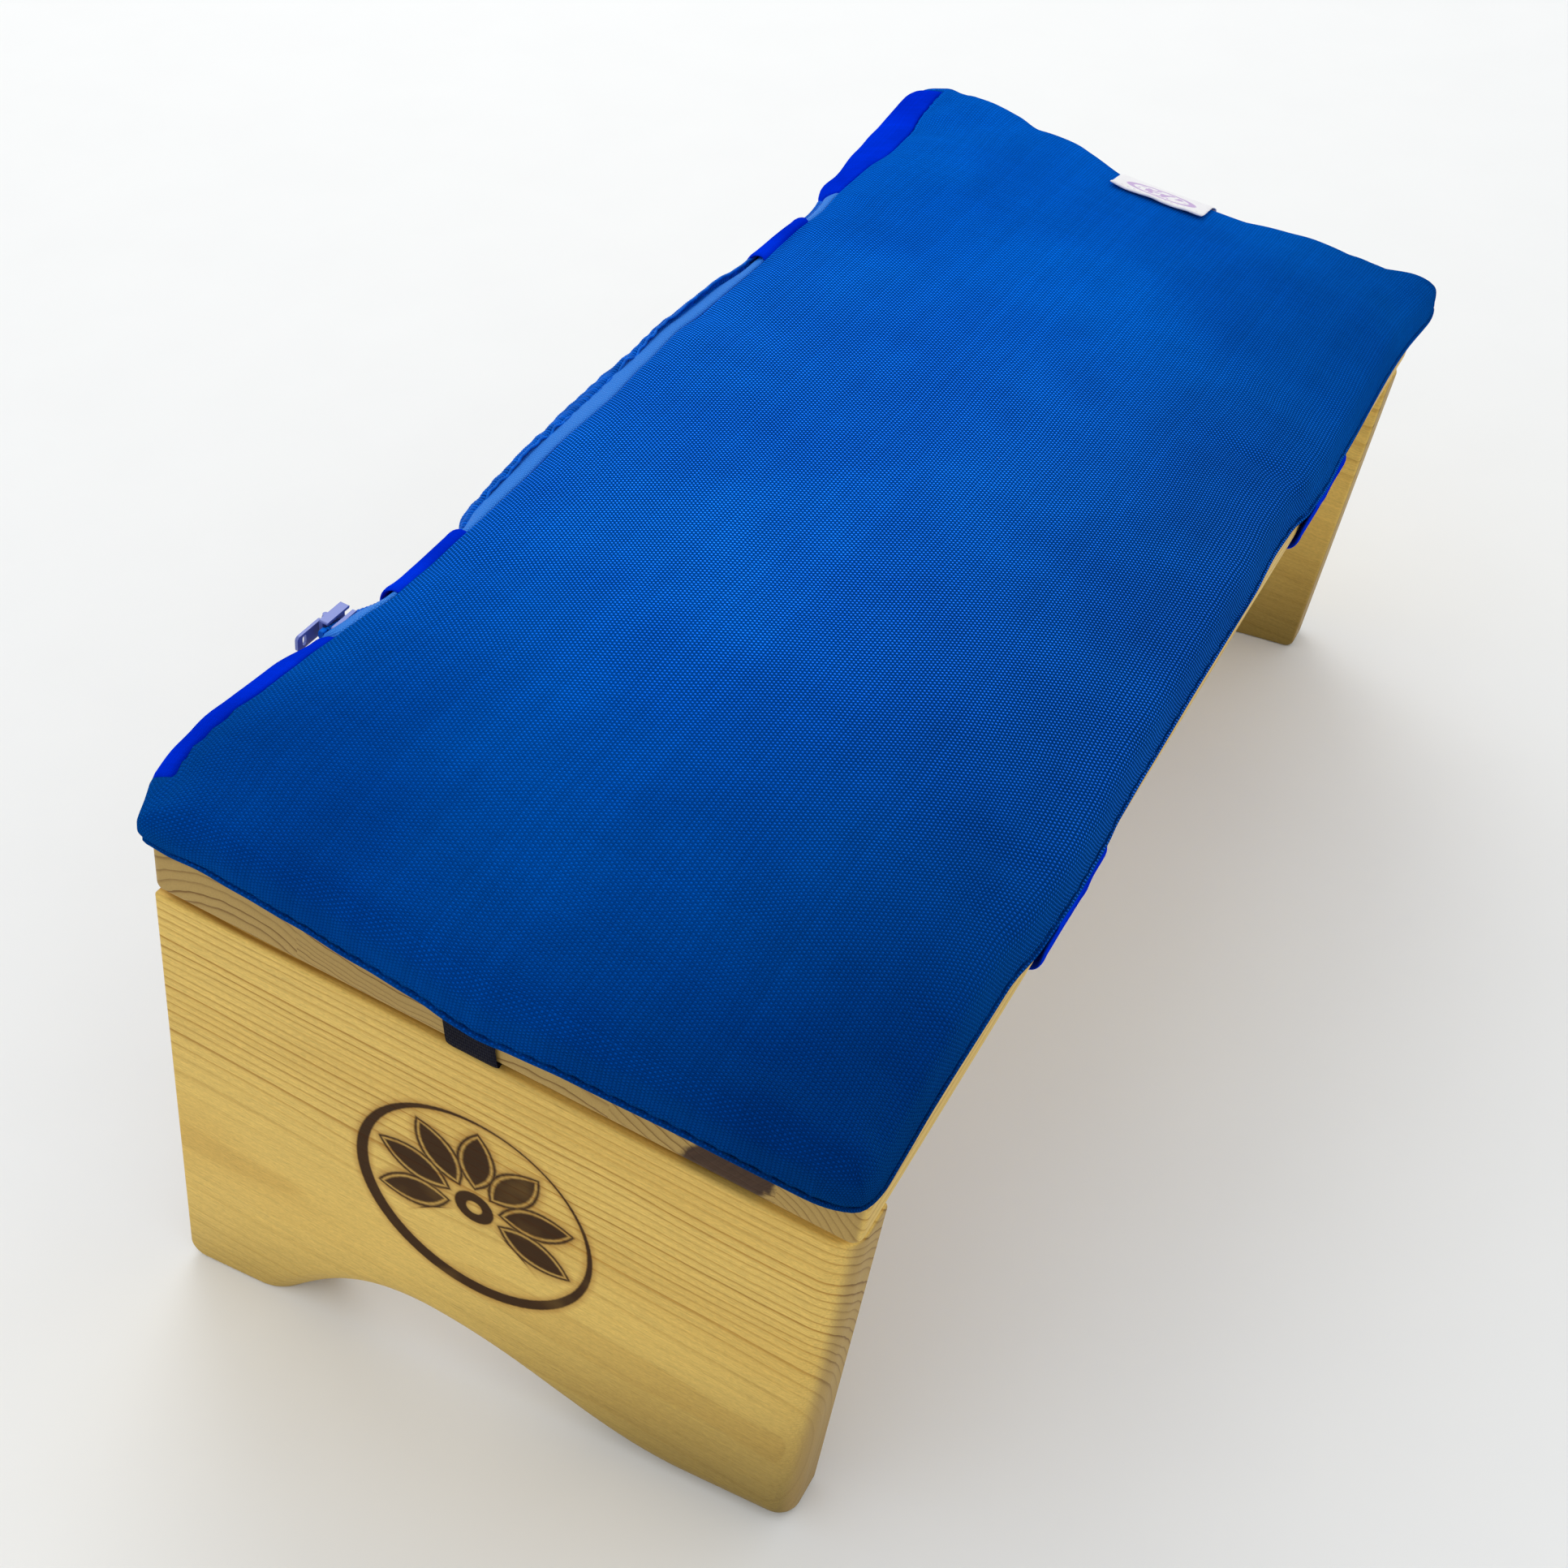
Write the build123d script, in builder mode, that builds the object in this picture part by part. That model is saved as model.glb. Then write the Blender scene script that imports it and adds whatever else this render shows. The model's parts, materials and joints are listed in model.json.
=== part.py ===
from build123d import *
from math import cos, radians, sin, tan
import os

# A folding kneeling bench: an edge-glued pine seat that slopes down to the front, two pine legs on
# butt hinges, and a thin box cushion with a zip, held on by straps. All sizes are in millimetres.
# The row frame stands on the floor: +X runs along the bench, -Y is the front (the low side).

# Boards
SEAT_LENGTH = 472
SEAT_WIDTH = 200
BOARD = 18
STAVE = 44.5                     # four full staves, and the front one takes what is left
STAVE_COUNT = 5
SLOPE = 8                        # how far the seat leans down to the front, in degrees
LEG_MIDDLE = 144.6               # the leg's length at the middle of its width, from the seat's underside
JOINT_GAP = 1.9                  # between the leg's top edge and the seat's underside
SEAT_EDGE = 3
LEG_FRONT_ROUND = 8
LEG_EDGE = 1.2
HEEL_ROUND = 5
TOE_ROUND = 3.5

# The arch under each leg: distances from the leg's middle, towards the back
ARCH_BACK = 63
ARCH_CROWN = 14
ARCH_FRONT = -70
ARCH_HEIGHT = 23
ARCH_FRONT_EASE = 32             # how far each end of the curve keeps its first direction
ARCH_CROWN_EASE = (34, 24)       # in front of the crown, and behind it
ARCH_BACK_EASE = 11

# Butt hinges
HINGE_LENGTH = 40
HINGE_SPREAD = 60                # from the bench's middle line to each hinge's middle
AXIS_OFFSET = 3                  # from the pin's axis to the seat's underside, and to the leg's face
KNUCKLE_RADIUS = 2.75
KNUCKLE_LENGTHS = (13, 13.4, 13)
KNUCKLE_GAP = 0.3
PIN_RADIUS = 1.25
FIXED_BORE = 1.27
RUNNING_BORE = 1.3
LEAF_WIDTH = 22
LEAF = 1.5
LEAF_CORNER = 2
PIN_CHAMFER = 0.3
LEAF_NOTCH = 3.3                 # from the pin's axis to the plate beside the other leaf's knuckle
SCREW_HEAD = 2.9
SCREW_SHANK = 1.4
SCREW_DEPTH = 12
SCREW_CLEARANCE = 0.03
HOLE_SPARE = 0.5
RECESS_LENGTH = 3.2
RECESS_WIDTH = 0.7
RECESS_DEPTH = 0.9
SCREW_ROWS = ((8.5, -14), (15.5, 0), (8.5, 14))   # from the pin's axis, and along the hinge

# Cushion
OVERHANG = 8.5                   # past each end of the seat
CUSHION_FRONT = -104
CUSHION_BACK = 104
CUSHION_LOW = BOARD + 0.3
CUSHION_THICKNESS = 18
CUSHION_CORNER = 14
TOP_ROUND = 5
LOW_ROUND = 3
CLOTH = 0.8
FOAM_SLACK = 0.4

# Zip in the back of the cover
ZIP_START = -159
ZIP_LENGTH = 304
TAPE = 0.6
COIL_HEIGHT = 2.4
COIL = 1.6
COIL_SLOT = 0.8                  # the line where the two coils mesh
COIL_ROUND = 0.6
STOP_ROUND = 0.4
STOP = 2
SLIDER_LENGTH = 10
SLIDER_WIDTH = 8.4
SLIDER_PLATE = 1.2
SLIDER_CLEAR = 0.3
SLIDER_EDGE = 0.4
INNER_PLATE_MARGIN = 1.4         # how much narrower the plate inside the cover is
FLANGE = 0.9
POST = 0.4
POST_LENGTH = 2.4
POST_SETBACK = 2.6               # from the slider's leading edge
EAR = 0.8
EAR_GAP = 0.2
EAR_RADIUS = 0.9
EYE_SPAN = 2.6
EYE_RADIUS = 1.1
EYE_BORE = 0.6
BAR_RADIUS = 0.5
BAR_HEIGHT = 1.4                 # from the slider's face to the bar that carries the pull tab
TAB_LENGTH = 13
TAB_WIDTH = 5
TAB = 0.9
TAB_CORNER = 1.2
TAB_NECK = 3
TAB_SHOULDER = 1.8               # from the bar to the tab's wide part
TAB_SLOT = (3.4, 1.6)
TAB_SLOT_SETBACK = 3             # from the tab's end to the middle of its slot

# Straps, hook and loop patches, label
STRAP_WIDTH = 34
STRAP = 1.2
STRAP_CENTRES = {"near": -120, "far": 102}
STRAP_STANDOFF = 110.8           # how far back the strap stands, which leaves the slider its path
STRAP_TUCK = 0.3                 # how far into the top seam the strap starts
STRAP_SHOULDER = 7               # from the cushion's top down to where the strap hangs straight
STRAP_TURN_GAP = 1.5             # between the seat's back edge and the strap's turn
STRAP_BENDS = (3, 5, 4)
FRONT_BEND = 6
FRONT_GAP = 1.4                  # between the cushion's front and the strap
PATCH = 0.9
PATCH_LENGTH = 40
PATCH_MARGIN = (6, 2)            # how much shorter the patch is than the strap's width and the overlap
PATCH_CORNER = 2
OVERLAP_MIDDLE = 13
END_STRAP_WIDTH = 15
END_STRAP = 1
END_STRAP_Y = 5
END_STRAP_REACH = 34             # under the seat, from its end
END_STRAP_GAP = 0.4              # between the strap and the seat
END_STRAP_START = (3.5, 0.7)     # its first point: out from its hanging run, and under the cushion
END_STRAP_DROP = 5
END_STRAP_BENDS = (3, 3.6)
TACK_HEAD = 4
TACK_THICKNESS = 1.2
TACK_DOME = 0.8
TACK_SETBACK = 5                 # from the strap's end to the tack
LABEL_WIDTH = 38
LABEL = 0.6
LABEL_GAP = 0.2
LABEL_Y = 3.5
LABEL_ON_TOP = 13
LABEL_START = 3                  # over the cushion's lower seam

slope = radians(SLOPE)
half_length = SEAT_LENGTH / 2
half_width = SEAT_WIDTH / 2
cushion_top = CUSHION_LOW + CUSHION_THICKNESS
zip_middle = CUSHION_LOW + CUSHION_THICKNESS / 2
zip_end = ZIP_START + ZIP_LENGTH
axis_x = half_length - BOARD - AXIS_OFFSET
strap_front = CUSHION_FRONT - FRONT_GAP
band_low = CUSHION_LOW + LOW_ROUND
band_high = cushion_top - TOP_ROUND
band_end = half_length + OVERHANG - CUSHION_CORNER
slider_x = ZIP_START + STOP + SLIDER_CLEAR + SLIDER_LENGTH / 2
slider_face = CUSHION_BACK + COIL + SLIDER_CLEAR + SLIDER_PLATE
bar_y = slider_face + BAR_HEIGHT
SIDES = {"near": -1, "far": 1}


def foot(y):
    """How low the leg reaches at y, measured down the leg, so that it stands flat on the floor."""
    return -LEG_MIDDLE - y * tan(slope)


# The seat's own frame: X along the bench, Y up the slope to the back, Z out of the seat's top.
# Its origin is the middle of the seat's underside, and the row frame's origin is on the floor
# under the middle of the whole bench.
heel_y = half_width * cos(slope) - (foot(half_width) + HEEL_ROUND) * sin(slope)
front_y = (strap_front - STRAP / 2) * cos(slope) - band_low * sin(slope)
seat = Plane(
    origin=(-(LABEL_GAP + LABEL) / 2, -(heel_y + front_y) / 2, LEG_MIDDLE * cos(slope)),
    x_dir=(1, 0, 0),
    z_dir=(0, -sin(slope), cos(slope)),
)
up = Axis((0, 0, 0), seat.z_dir)
back = Axis((0, 0, 0), seat.y_dir)


def across(x):
    """A plane square to the bench's length: it draws in (back, up) and extrudes to +X."""
    return Plane(seat.from_local_coords(Vector(x, 0, 0)), x_dir=seat.y_dir, z_dir=seat.x_dir)


def along(y):
    """A plane square to the bench's width: it draws in (length, up) and extrudes to the front."""
    return Plane(seat.from_local_coords(Vector(0, y, 0)), x_dir=seat.x_dir, z_dir=-seat.y_dir)


def leg_face(side, stand_out=0):
    """The leg's inner face: it draws in (side * back, up) and extrudes into the leg."""
    x = side * (half_length - BOARD - stand_out)
    return Plane(seat.from_local_coords(Vector(x, 0, 0)), x_dir=side * seat.y_dir, z_dir=side * seat.x_dir)


def save(part, name):
    part.label = name
    export_step(part, f"parts/{name}.step")


def seat_screws(side):
    """Where the seat leaves' screws stand, in the seat's frame."""
    return [
        (side * (axis_x - reach), middle + step)
        for middle in (-HINGE_SPREAD, HINGE_SPREAD)
        for reach, step in SCREW_ROWS
    ]


def leg_screws():
    """Where the leg leaves' screws stand, on the leg's inner face."""
    return [
        (middle + step, -AXIS_OFFSET - reach)
        for middle in (-HINGE_SPREAD, HINGE_SPREAD)
        for reach, step in SCREW_ROWS
    ]


def tack_place(side):
    return (side * (half_length - END_STRAP_REACH + TACK_SETBACK), END_STRAP_Y)


def make_seat_staves():
    """The seat board, cut at its glue lines into staves that run the bench's length."""
    with BuildPart() as board:
        with BuildSketch(seat):
            Rectangle(SEAT_LENGTH, SEAT_WIDTH)
        extrude(amount=BOARD)
        fillet(board.edges(), radius=SEAT_EDGE)
        with BuildSketch(seat):
            with Locations(*seat_screws(-1), *seat_screws(1)):
                Circle(SCREW_SHANK + SCREW_CLEARANCE)
        extrude(amount=SCREW_DEPTH + HOLE_SPARE, mode=Mode.SUBTRACT)
        with BuildSketch(seat):
            with Locations(tack_place(-1), tack_place(1)):
                Circle(SCREW_SHANK + SCREW_CLEARANCE)
        extrude(amount=SCREW_DEPTH, mode=Mode.SUBTRACT)
    back = half_width
    for number in range(1, STAVE_COUNT + 1):
        front = max(back - STAVE, -half_width)
        with BuildPart() as stave:
            add(board.part)
            with BuildSketch(seat):
                with Locations((0, (back + front) / 2)):
                    Rectangle(SEAT_LENGTH, back - front)
            extrude(amount=BOARD, mode=Mode.INTERSECT)
        save(stave.part, f"seat_stave_{number}")
        back = front


def make_leg(name, side):
    """A single board with an arch between its two feet. The outer front edge has a large round."""
    low_x = min(side * half_length, side * (half_length - BOARD))
    crown = (ARCH_CROWN, foot(ARCH_CROWN) + ARCH_HEIGHT)
    with BuildPart() as leg:
        with BuildSketch(across(low_x)) as face:
            with BuildLine():
                Polyline(
                    (ARCH_BACK, foot(ARCH_BACK)),
                    (half_width, foot(half_width)),
                    (half_width, -JOINT_GAP),
                    (-half_width, -JOINT_GAP),
                    (-half_width, foot(-half_width)),
                    (ARCH_FRONT, foot(ARCH_FRONT)),
                )
                Bezier(
                    (ARCH_FRONT, foot(ARCH_FRONT)),
                    (ARCH_FRONT + ARCH_FRONT_EASE, foot(ARCH_FRONT + ARCH_FRONT_EASE)),
                    (ARCH_CROWN - ARCH_CROWN_EASE[0], crown[1]),
                    crown,
                )
                Bezier(
                    crown,
                    (ARCH_CROWN + ARCH_CROWN_EASE[1], crown[1]),
                    (ARCH_BACK - ARCH_BACK_EASE, foot(ARCH_BACK - ARCH_BACK_EASE) + ARCH_HEIGHT / 2),
                    (ARCH_BACK, foot(ARCH_BACK)),
                )
            make_face()
            fillet(face.vertices().group_by(Axis.X)[-1].sort_by(Axis.Y)[0], radius=HEEL_ROUND)
            fillet(face.vertices().group_by(Axis.X)[0].sort_by(Axis.Y)[0], radius=TOE_ROUND)
        extrude(amount=BOARD)
        front_edges = leg.edges().filter_by(up).group_by(back)[0].sort_by(Axis.X)
        fillet(front_edges[0] if side < 0 else front_edges[-1], radius=LEG_FRONT_ROUND)
        fillet(leg.edges() - leg.edges().filter_by(up) - leg.edges().filter_by(Axis.X), radius=LEG_EDGE)
        with BuildSketch(leg_face(side)):
            with Locations(*leg_screws()):
                Circle(SCREW_SHANK + SCREW_CLEARANCE)
        extrude(amount=SCREW_DEPTH + HOLE_SPARE, mode=Mode.SUBTRACT)
    save(leg.part, f"leg_{name}")


def knuckle_spans(middle):
    """Where each knuckle of a hinge begins and ends, from its front end to its back end."""
    spans = []
    start = middle - HINGE_LENGTH / 2
    for length in KNUCKLE_LENGTHS:
        spans.append((start, start + length))
        start += length + KNUCKLE_GAP
    return spans


def make_hinge(name, side, middle):
    """A butt hinge: one leaf under the seat, one on the leg's inner face, and the pin."""
    axis = (side * axis_x, -AXIS_OFFSET)
    plate = LEAF_WIDTH - LEAF_NOTCH
    plate_middle = (LEAF_WIDTH + LEAF_NOTCH) / 2
    front, centre, rear = knuckle_spans(middle)
    with BuildPart() as seat_leaf:
        with BuildSketch(along(middle + HINGE_LENGTH / 2)):
            with Locations((side * (axis_x - plate_middle), -LEAF / 2)):
                Rectangle(plate, LEAF)
        extrude(amount=HINGE_LENGTH)
        for start, end in (front, rear):
            with BuildSketch(along(end)):
                with Locations((side * (axis_x - LEAF_NOTCH / 2), -LEAF / 2)):
                    Rectangle(LEAF_NOTCH, LEAF)
                with Locations(axis):
                    Circle(KNUCKLE_RADIUS)
                    Circle(FIXED_BORE, mode=Mode.SUBTRACT)
            extrude(amount=end - start)
        corners = seat_leaf.edges().filter_by(up).group_by(Axis.X)[-1 if side < 0 else 0]
        fillet(corners, radius=LEAF_CORNER)
        with BuildSketch(seat.offset(-LEAF)):
            with Locations(*[place for place in seat_screws(side) if place[1] * middle > 0]):
                Circle(SCREW_HEAD + SCREW_CLEARANCE)
        extrude(amount=LEAF, taper=45, mode=Mode.SUBTRACT)
    save(seat_leaf.part, f"hinge_{name}_seat_leaf")

    leaf_x = side * (half_length - BOARD - LEAF / 2)
    with BuildPart() as leg_leaf:
        with BuildSketch(along(middle + HINGE_LENGTH / 2)):
            with Locations((leaf_x, -AXIS_OFFSET - plate_middle)):
                Rectangle(LEAF, plate)
        extrude(amount=HINGE_LENGTH)
        with BuildSketch(along(centre[1])):
            with Locations((leaf_x, -AXIS_OFFSET - LEAF_NOTCH / 2)):
                Rectangle(LEAF, LEAF_NOTCH)
            with Locations(axis):
                Circle(KNUCKLE_RADIUS)
                Circle(RUNNING_BORE, mode=Mode.SUBTRACT)
        extrude(amount=centre[1] - centre[0])
        fillet(leg_leaf.edges().filter_by(Axis.X).group_by(up)[0], radius=LEAF_CORNER)
        with BuildSketch(leg_face(side, LEAF)):
            with Locations(*[place for place in leg_screws() if side * place[0] * middle > 0]):
                Circle(SCREW_HEAD + SCREW_CLEARANCE)
        extrude(amount=LEAF, taper=45, mode=Mode.SUBTRACT)
    save(leg_leaf.part, f"hinge_{name}_leg_leaf")

    with BuildPart() as pin:
        with BuildSketch(along(rear[1])):
            with Locations(axis):
                Circle(PIN_RADIUS)
        extrude(amount=HINGE_LENGTH)
        chamfer(pin.edges().filter_by(GeomType.CIRCLE), length=PIN_CHAMFER)
    save(pin.part, f"hinge_{name}_pin")


def make_screws(name, head_plane, wood_plane, places):
    """Countersunk wood screws with a cross recess, one solid each."""
    with BuildPart() as screws:
        with BuildSketch(head_plane):
            with Locations(*places):
                Circle(SCREW_HEAD)
        extrude(amount=LEAF, taper=45)
        with BuildSketch(wood_plane):
            with Locations(*places):
                Circle(SCREW_SHANK)
        extrude(amount=SCREW_DEPTH)
        with BuildSketch(head_plane):
            with Locations(*places):
                Rectangle(RECESS_LENGTH, RECESS_WIDTH)
                Rectangle(RECESS_WIDTH, RECESS_LENGTH)
        extrude(amount=RECESS_DEPTH, mode=Mode.SUBTRACT)
    save(screws.part, name)


def cushion_block(inset, back_face):
    """The cushion's outer form, drawn in by an inset all round."""
    front_face = CUSHION_FRONT + inset
    with BuildPart() as block:
        with BuildSketch(seat.offset(CUSHION_LOW + inset)):
            with Locations((0, (front_face + back_face) / 2)):
                RectangleRounded(
                    2 * (half_length + OVERHANG - inset),
                    back_face - front_face,
                    radius=CUSHION_CORNER - inset,
                )
        extrude(amount=CUSHION_THICKNESS - 2 * inset)
        fillet(block.faces().sort_by(up)[-1].edges(), radius=TOP_ROUND - inset)
        fillet(block.faces().sort_by(up)[0].edges(), radius=LOW_ROUND - inset)
    return block.part


def make_cushion():
    """Foam inside a cover: a top panel that turns down at three sides, a bottom panel, a back band."""
    foam_inset = CLOTH + FOAM_SLACK
    foam_back = CUSHION_BACK - TAPE - SLIDER_PLATE - 2 * SLIDER_CLEAR
    save(cushion_block(foam_inset, foam_back), "foam_pad")

    with BuildPart() as shell:
        add(cushion_block(0, CUSHION_BACK))
        add(cushion_block(CLOTH, CUSHION_BACK - CLOTH), mode=Mode.SUBTRACT)
    with BuildPart() as bottom:
        add(shell.part)
        with BuildSketch(seat.offset(CUSHION_LOW)):
            Rectangle(2 * SEAT_LENGTH, 2 * SEAT_WIDTH)
        extrude(amount=LOW_ROUND, mode=Mode.INTERSECT)
    save(bottom.part, "cover_bottom")

    with BuildPart() as top:
        add(shell.part)
        with BuildSketch(seat.offset(CUSHION_LOW)):
            Rectangle(2 * SEAT_LENGTH, 2 * SEAT_WIDTH)
        extrude(amount=LOW_ROUND, mode=Mode.SUBTRACT)
        with BuildSketch(seat.offset(band_low)):
            with Locations((0, CUSHION_BACK)):
                Rectangle(2 * band_end, 2 * LOW_ROUND)
        extrude(amount=band_high - band_low, mode=Mode.SUBTRACT)
    save(top.part, "cover_top")

    for name, start, end in (("near", -band_end, ZIP_START), ("far", zip_end, band_end)):
        with BuildPart() as band:
            with BuildSketch(across(start)):
                with Locations((CUSHION_BACK - CLOTH / 2, (band_low + band_high) / 2)):
                    Rectangle(CLOTH, band_high - band_low)
            extrude(amount=end - start)
        save(band.part, f"cover_back_{name}")


def make_zip():
    """Two tapes, two coils that mesh on the band's middle line, and the stops at both ends."""
    edges = {
        "upper": (zip_middle + COIL_SLOT / 2, band_high),
        "lower": (band_low, zip_middle - COIL_SLOT / 2),
    }
    for name, (low, high) in edges.items():
        with BuildPart() as tape:
            with BuildSketch(across(ZIP_START)):
                with Locations((CUSHION_BACK - TAPE / 2, (low + high) / 2)):
                    Rectangle(TAPE, high - low)
            extrude(amount=ZIP_LENGTH)
        save(tape.part, f"zip_tape_{name}")
    coil_middle = (COIL_SLOT + COIL_HEIGHT) / 2
    for name, shift in (("upper", coil_middle), ("lower", -coil_middle)):
        with BuildPart() as coil:
            with BuildSketch(across(ZIP_START + STOP)):
                with Locations((CUSHION_BACK + COIL / 2, zip_middle + shift)):
                    RectangleRounded(COIL, COIL_HEIGHT, radius=COIL_ROUND)
            extrude(amount=ZIP_LENGTH - 2 * STOP)
        save(coil.part, f"zip_coil_{name}")
    with BuildPart() as top_stops:
        with BuildSketch(across(ZIP_START)):
            for shift in (coil_middle, -coil_middle):
                with Locations((CUSHION_BACK + COIL / 2, zip_middle + shift)):
                    RectangleRounded(COIL, COIL_HEIGHT, radius=STOP_ROUND)
        extrude(amount=STOP)
    save(top_stops.part, "zip_top_stops")
    with BuildPart() as bottom_stop:
        with BuildSketch(across(zip_end - STOP)):
            with Locations((CUSHION_BACK + COIL / 2, zip_middle)):
                RectangleRounded(COIL, 2 * COIL_HEIGHT + COIL_SLOT, radius=STOP_ROUND)
        extrude(amount=STOP)
    save(bottom_stop.part, "zip_bottom_stop")


def make_slider():
    """The slider's two plates, joined by a thin post that runs between the coils, and the tab's bar."""
    inner_plate = CUSHION_BACK - TAPE - SLIDER_CLEAR - SLIDER_PLATE / 2
    outer_plate = slider_face - SLIDER_PLATE / 2
    flange_middle = slider_face - SLIDER_PLATE - COIL / 2
    flange_height = (SLIDER_WIDTH - FLANGE) / 2
    with BuildPart() as slider:
        with BuildSketch(across(slider_x - SLIDER_LENGTH / 2)):
            with Locations((outer_plate, zip_middle)):
                Rectangle(SLIDER_PLATE, SLIDER_WIDTH)
            with Locations((inner_plate, zip_middle)):
                Rectangle(SLIDER_PLATE, SLIDER_WIDTH - INNER_PLATE_MARGIN)
            for height in (zip_middle - flange_height, zip_middle + flange_height):
                with Locations((flange_middle, height)):
                    Rectangle(COIL, FLANGE)
        extrude(amount=SLIDER_LENGTH)
        fillet(slider.edges().filter_by(back), radius=SLIDER_EDGE)
        with BuildSketch(across(slider_x + SLIDER_LENGTH / 2 - POST_SETBACK)):
            with Locations(((inner_plate + outer_plate) / 2, zip_middle)):
                Rectangle(outer_plate - inner_plate, POST)
        extrude(amount=POST_LENGTH)
        ear_start = EYE_SPAN / 2 + EAR_GAP
        for start in (zip_middle - ear_start - EAR, zip_middle + ear_start):
            with BuildSketch(seat.offset(start)):
                with Locations((slider_x, bar_y)):
                    Circle(EAR_RADIUS)
                with Locations((slider_x, (bar_y + slider_face) / 2)):
                    Rectangle(2 * EAR_RADIUS, bar_y - slider_face)
            extrude(amount=EAR)
        with BuildSketch(seat.offset(zip_middle - ear_start - EAR_GAP)):
            with Locations((slider_x, bar_y)):
                Circle(BAR_RADIUS)
        extrude(amount=2 * (ear_start + EAR_GAP))
    save(slider.part, "zip_slider")

    with BuildPart() as tab:
        with BuildSketch(seat.offset(zip_middle - EYE_SPAN / 2)):
            with Locations((slider_x, bar_y)):
                Circle(EYE_RADIUS)
            with Locations((slider_x - TAB_NECK / 2, bar_y)):
                Rectangle(TAB_NECK, TAB)
            with Locations((slider_x, bar_y)):
                Circle(EYE_BORE, mode=Mode.SUBTRACT)
        extrude(amount=EYE_SPAN)
        with BuildSketch(along(bar_y + TAB / 2)):
            with Locations((slider_x - (TAB_LENGTH + TAB_SHOULDER) / 2, zip_middle)):
                RectangleRounded(TAB_LENGTH - TAB_SHOULDER, TAB_WIDTH, radius=TAB_CORNER)
            with Locations((slider_x - TAB_LENGTH + TAB_SLOT_SETBACK, zip_middle)):
                SlotOverall(*TAB_SLOT, rotation=90, mode=Mode.SUBTRACT)
        extrude(amount=TAB)
    save(tab.part, "zip_pull_tab")


def ribbon(plane, points, radii, thickness, width):
    """A flat band of cloth that follows a path of straight runs and arcs, drawn on a plane."""
    with BuildPart() as band:
        with BuildSketch(plane):
            with BuildLine():
                FilletPolyline(*points, radius=radii)
            trace(line_width=thickness)
        extrude(amount=width)
    return band.part


def make_strap(name):
    """A strap in two halves that meet under the seat with a loop patch and a hook patch."""
    start = STRAP_CENTRES[name] - STRAP_WIDTH / 2
    upper_run = -SLIDER_CLEAR - STRAP / 2
    lower_run = upper_run - STRAP - 2 * PATCH
    overlap_end = OVERLAP_MIDDLE - PATCH_LENGTH / 2
    back_path = [
        (CUSHION_BACK - STRAP_TUCK, cushion_top - STRAP_TUCK),
        (STRAP_STANDOFF, cushion_top - STRAP_SHOULDER),
        (STRAP_STANDOFF, band_low),
        (half_width + STRAP_TURN_GAP, upper_run),
        (overlap_end, upper_run),
    ]
    front_path = [
        (strap_front, band_low),
        (strap_front, lower_run),
        (overlap_end + PATCH_LENGTH, lower_run),
    ]
    save(ribbon(across(start), back_path, STRAP_BENDS, STRAP, STRAP_WIDTH), f"strap_{name}_back")
    save(ribbon(across(start), front_path, [FRONT_BEND], STRAP, STRAP_WIDTH), f"strap_{name}_front")
    loop_level = upper_run - STRAP / 2 - PATCH
    for patch_name, level in (("loop", loop_level), ("hook", loop_level - PATCH)):
        with BuildPart() as patch:
            with BuildSketch(seat.offset(level)):
                with Locations((STRAP_CENTRES[name], OVERLAP_MIDDLE)):
                    RectangleRounded(
                        STRAP_WIDTH - PATCH_MARGIN[0], PATCH_LENGTH - PATCH_MARGIN[1], radius=PATCH_CORNER
                    )
            extrude(amount=PATCH)
        save(patch.part, f"{patch_name}_patch_{name}")


def make_end_strap(name, side):
    """A narrow strap from the cushion's end, down over the seat's end and through the joint above the leg."""
    run = -END_STRAP_GAP - END_STRAP / 2
    hanging = half_length + END_STRAP_GAP + END_STRAP / 2
    path = [
        (side * (hanging + END_STRAP_START[0]), CUSHION_LOW - END_STRAP_START[1]),
        (side * hanging, CUSHION_LOW - END_STRAP_DROP),
        (side * hanging, run),
        (side * (half_length - END_STRAP_REACH), run),
    ]
    band = ribbon(along(END_STRAP_Y + END_STRAP_WIDTH / 2), path, END_STRAP_BENDS, END_STRAP, END_STRAP_WIDTH)
    with BuildPart() as strap:
        add(band)
        with BuildSketch(seat.offset(run - END_STRAP)):
            with Locations(tack_place(side)):
                Circle(SCREW_SHANK + SCREW_CLEARANCE)
        extrude(amount=2 * END_STRAP, mode=Mode.SUBTRACT)
    save(strap.part, f"end_strap_{name}")


def make_tacks():
    """Round-headed tacks that hold the end straps under the seat."""
    strap_face = -END_STRAP_GAP - END_STRAP
    with BuildPart() as tacks:
        with BuildSketch(seat.offset(strap_face)):
            with Locations(tack_place(-1), tack_place(1)):
                Circle(TACK_HEAD)
        extrude(amount=-TACK_THICKNESS)
        fillet(tacks.faces().group_by(up)[0].edges(), radius=TACK_DOME)
        with BuildSketch(seat.offset(strap_face)):
            with Locations(tack_place(-1), tack_place(1)):
                Circle(SCREW_SHANK)
        extrude(amount=SCREW_DEPTH)
    save(tacks.part, "end_strap_tacks")


def make_label():
    """A woven label sewn into the far end, turned up and over onto the cushion's top."""
    stand = LABEL_GAP + LABEL / 2
    end = half_length + OVERHANG + stand
    top = cushion_top + stand
    path = [(end, band_low + LABEL_START), (end, top), (end - LABEL_ON_TOP, top)]
    label = ribbon(along(LABEL_Y + LABEL_WIDTH / 2), path, [TOP_ROUND + stand], LABEL, LABEL_WIDTH)
    save(label, "label")


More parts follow.
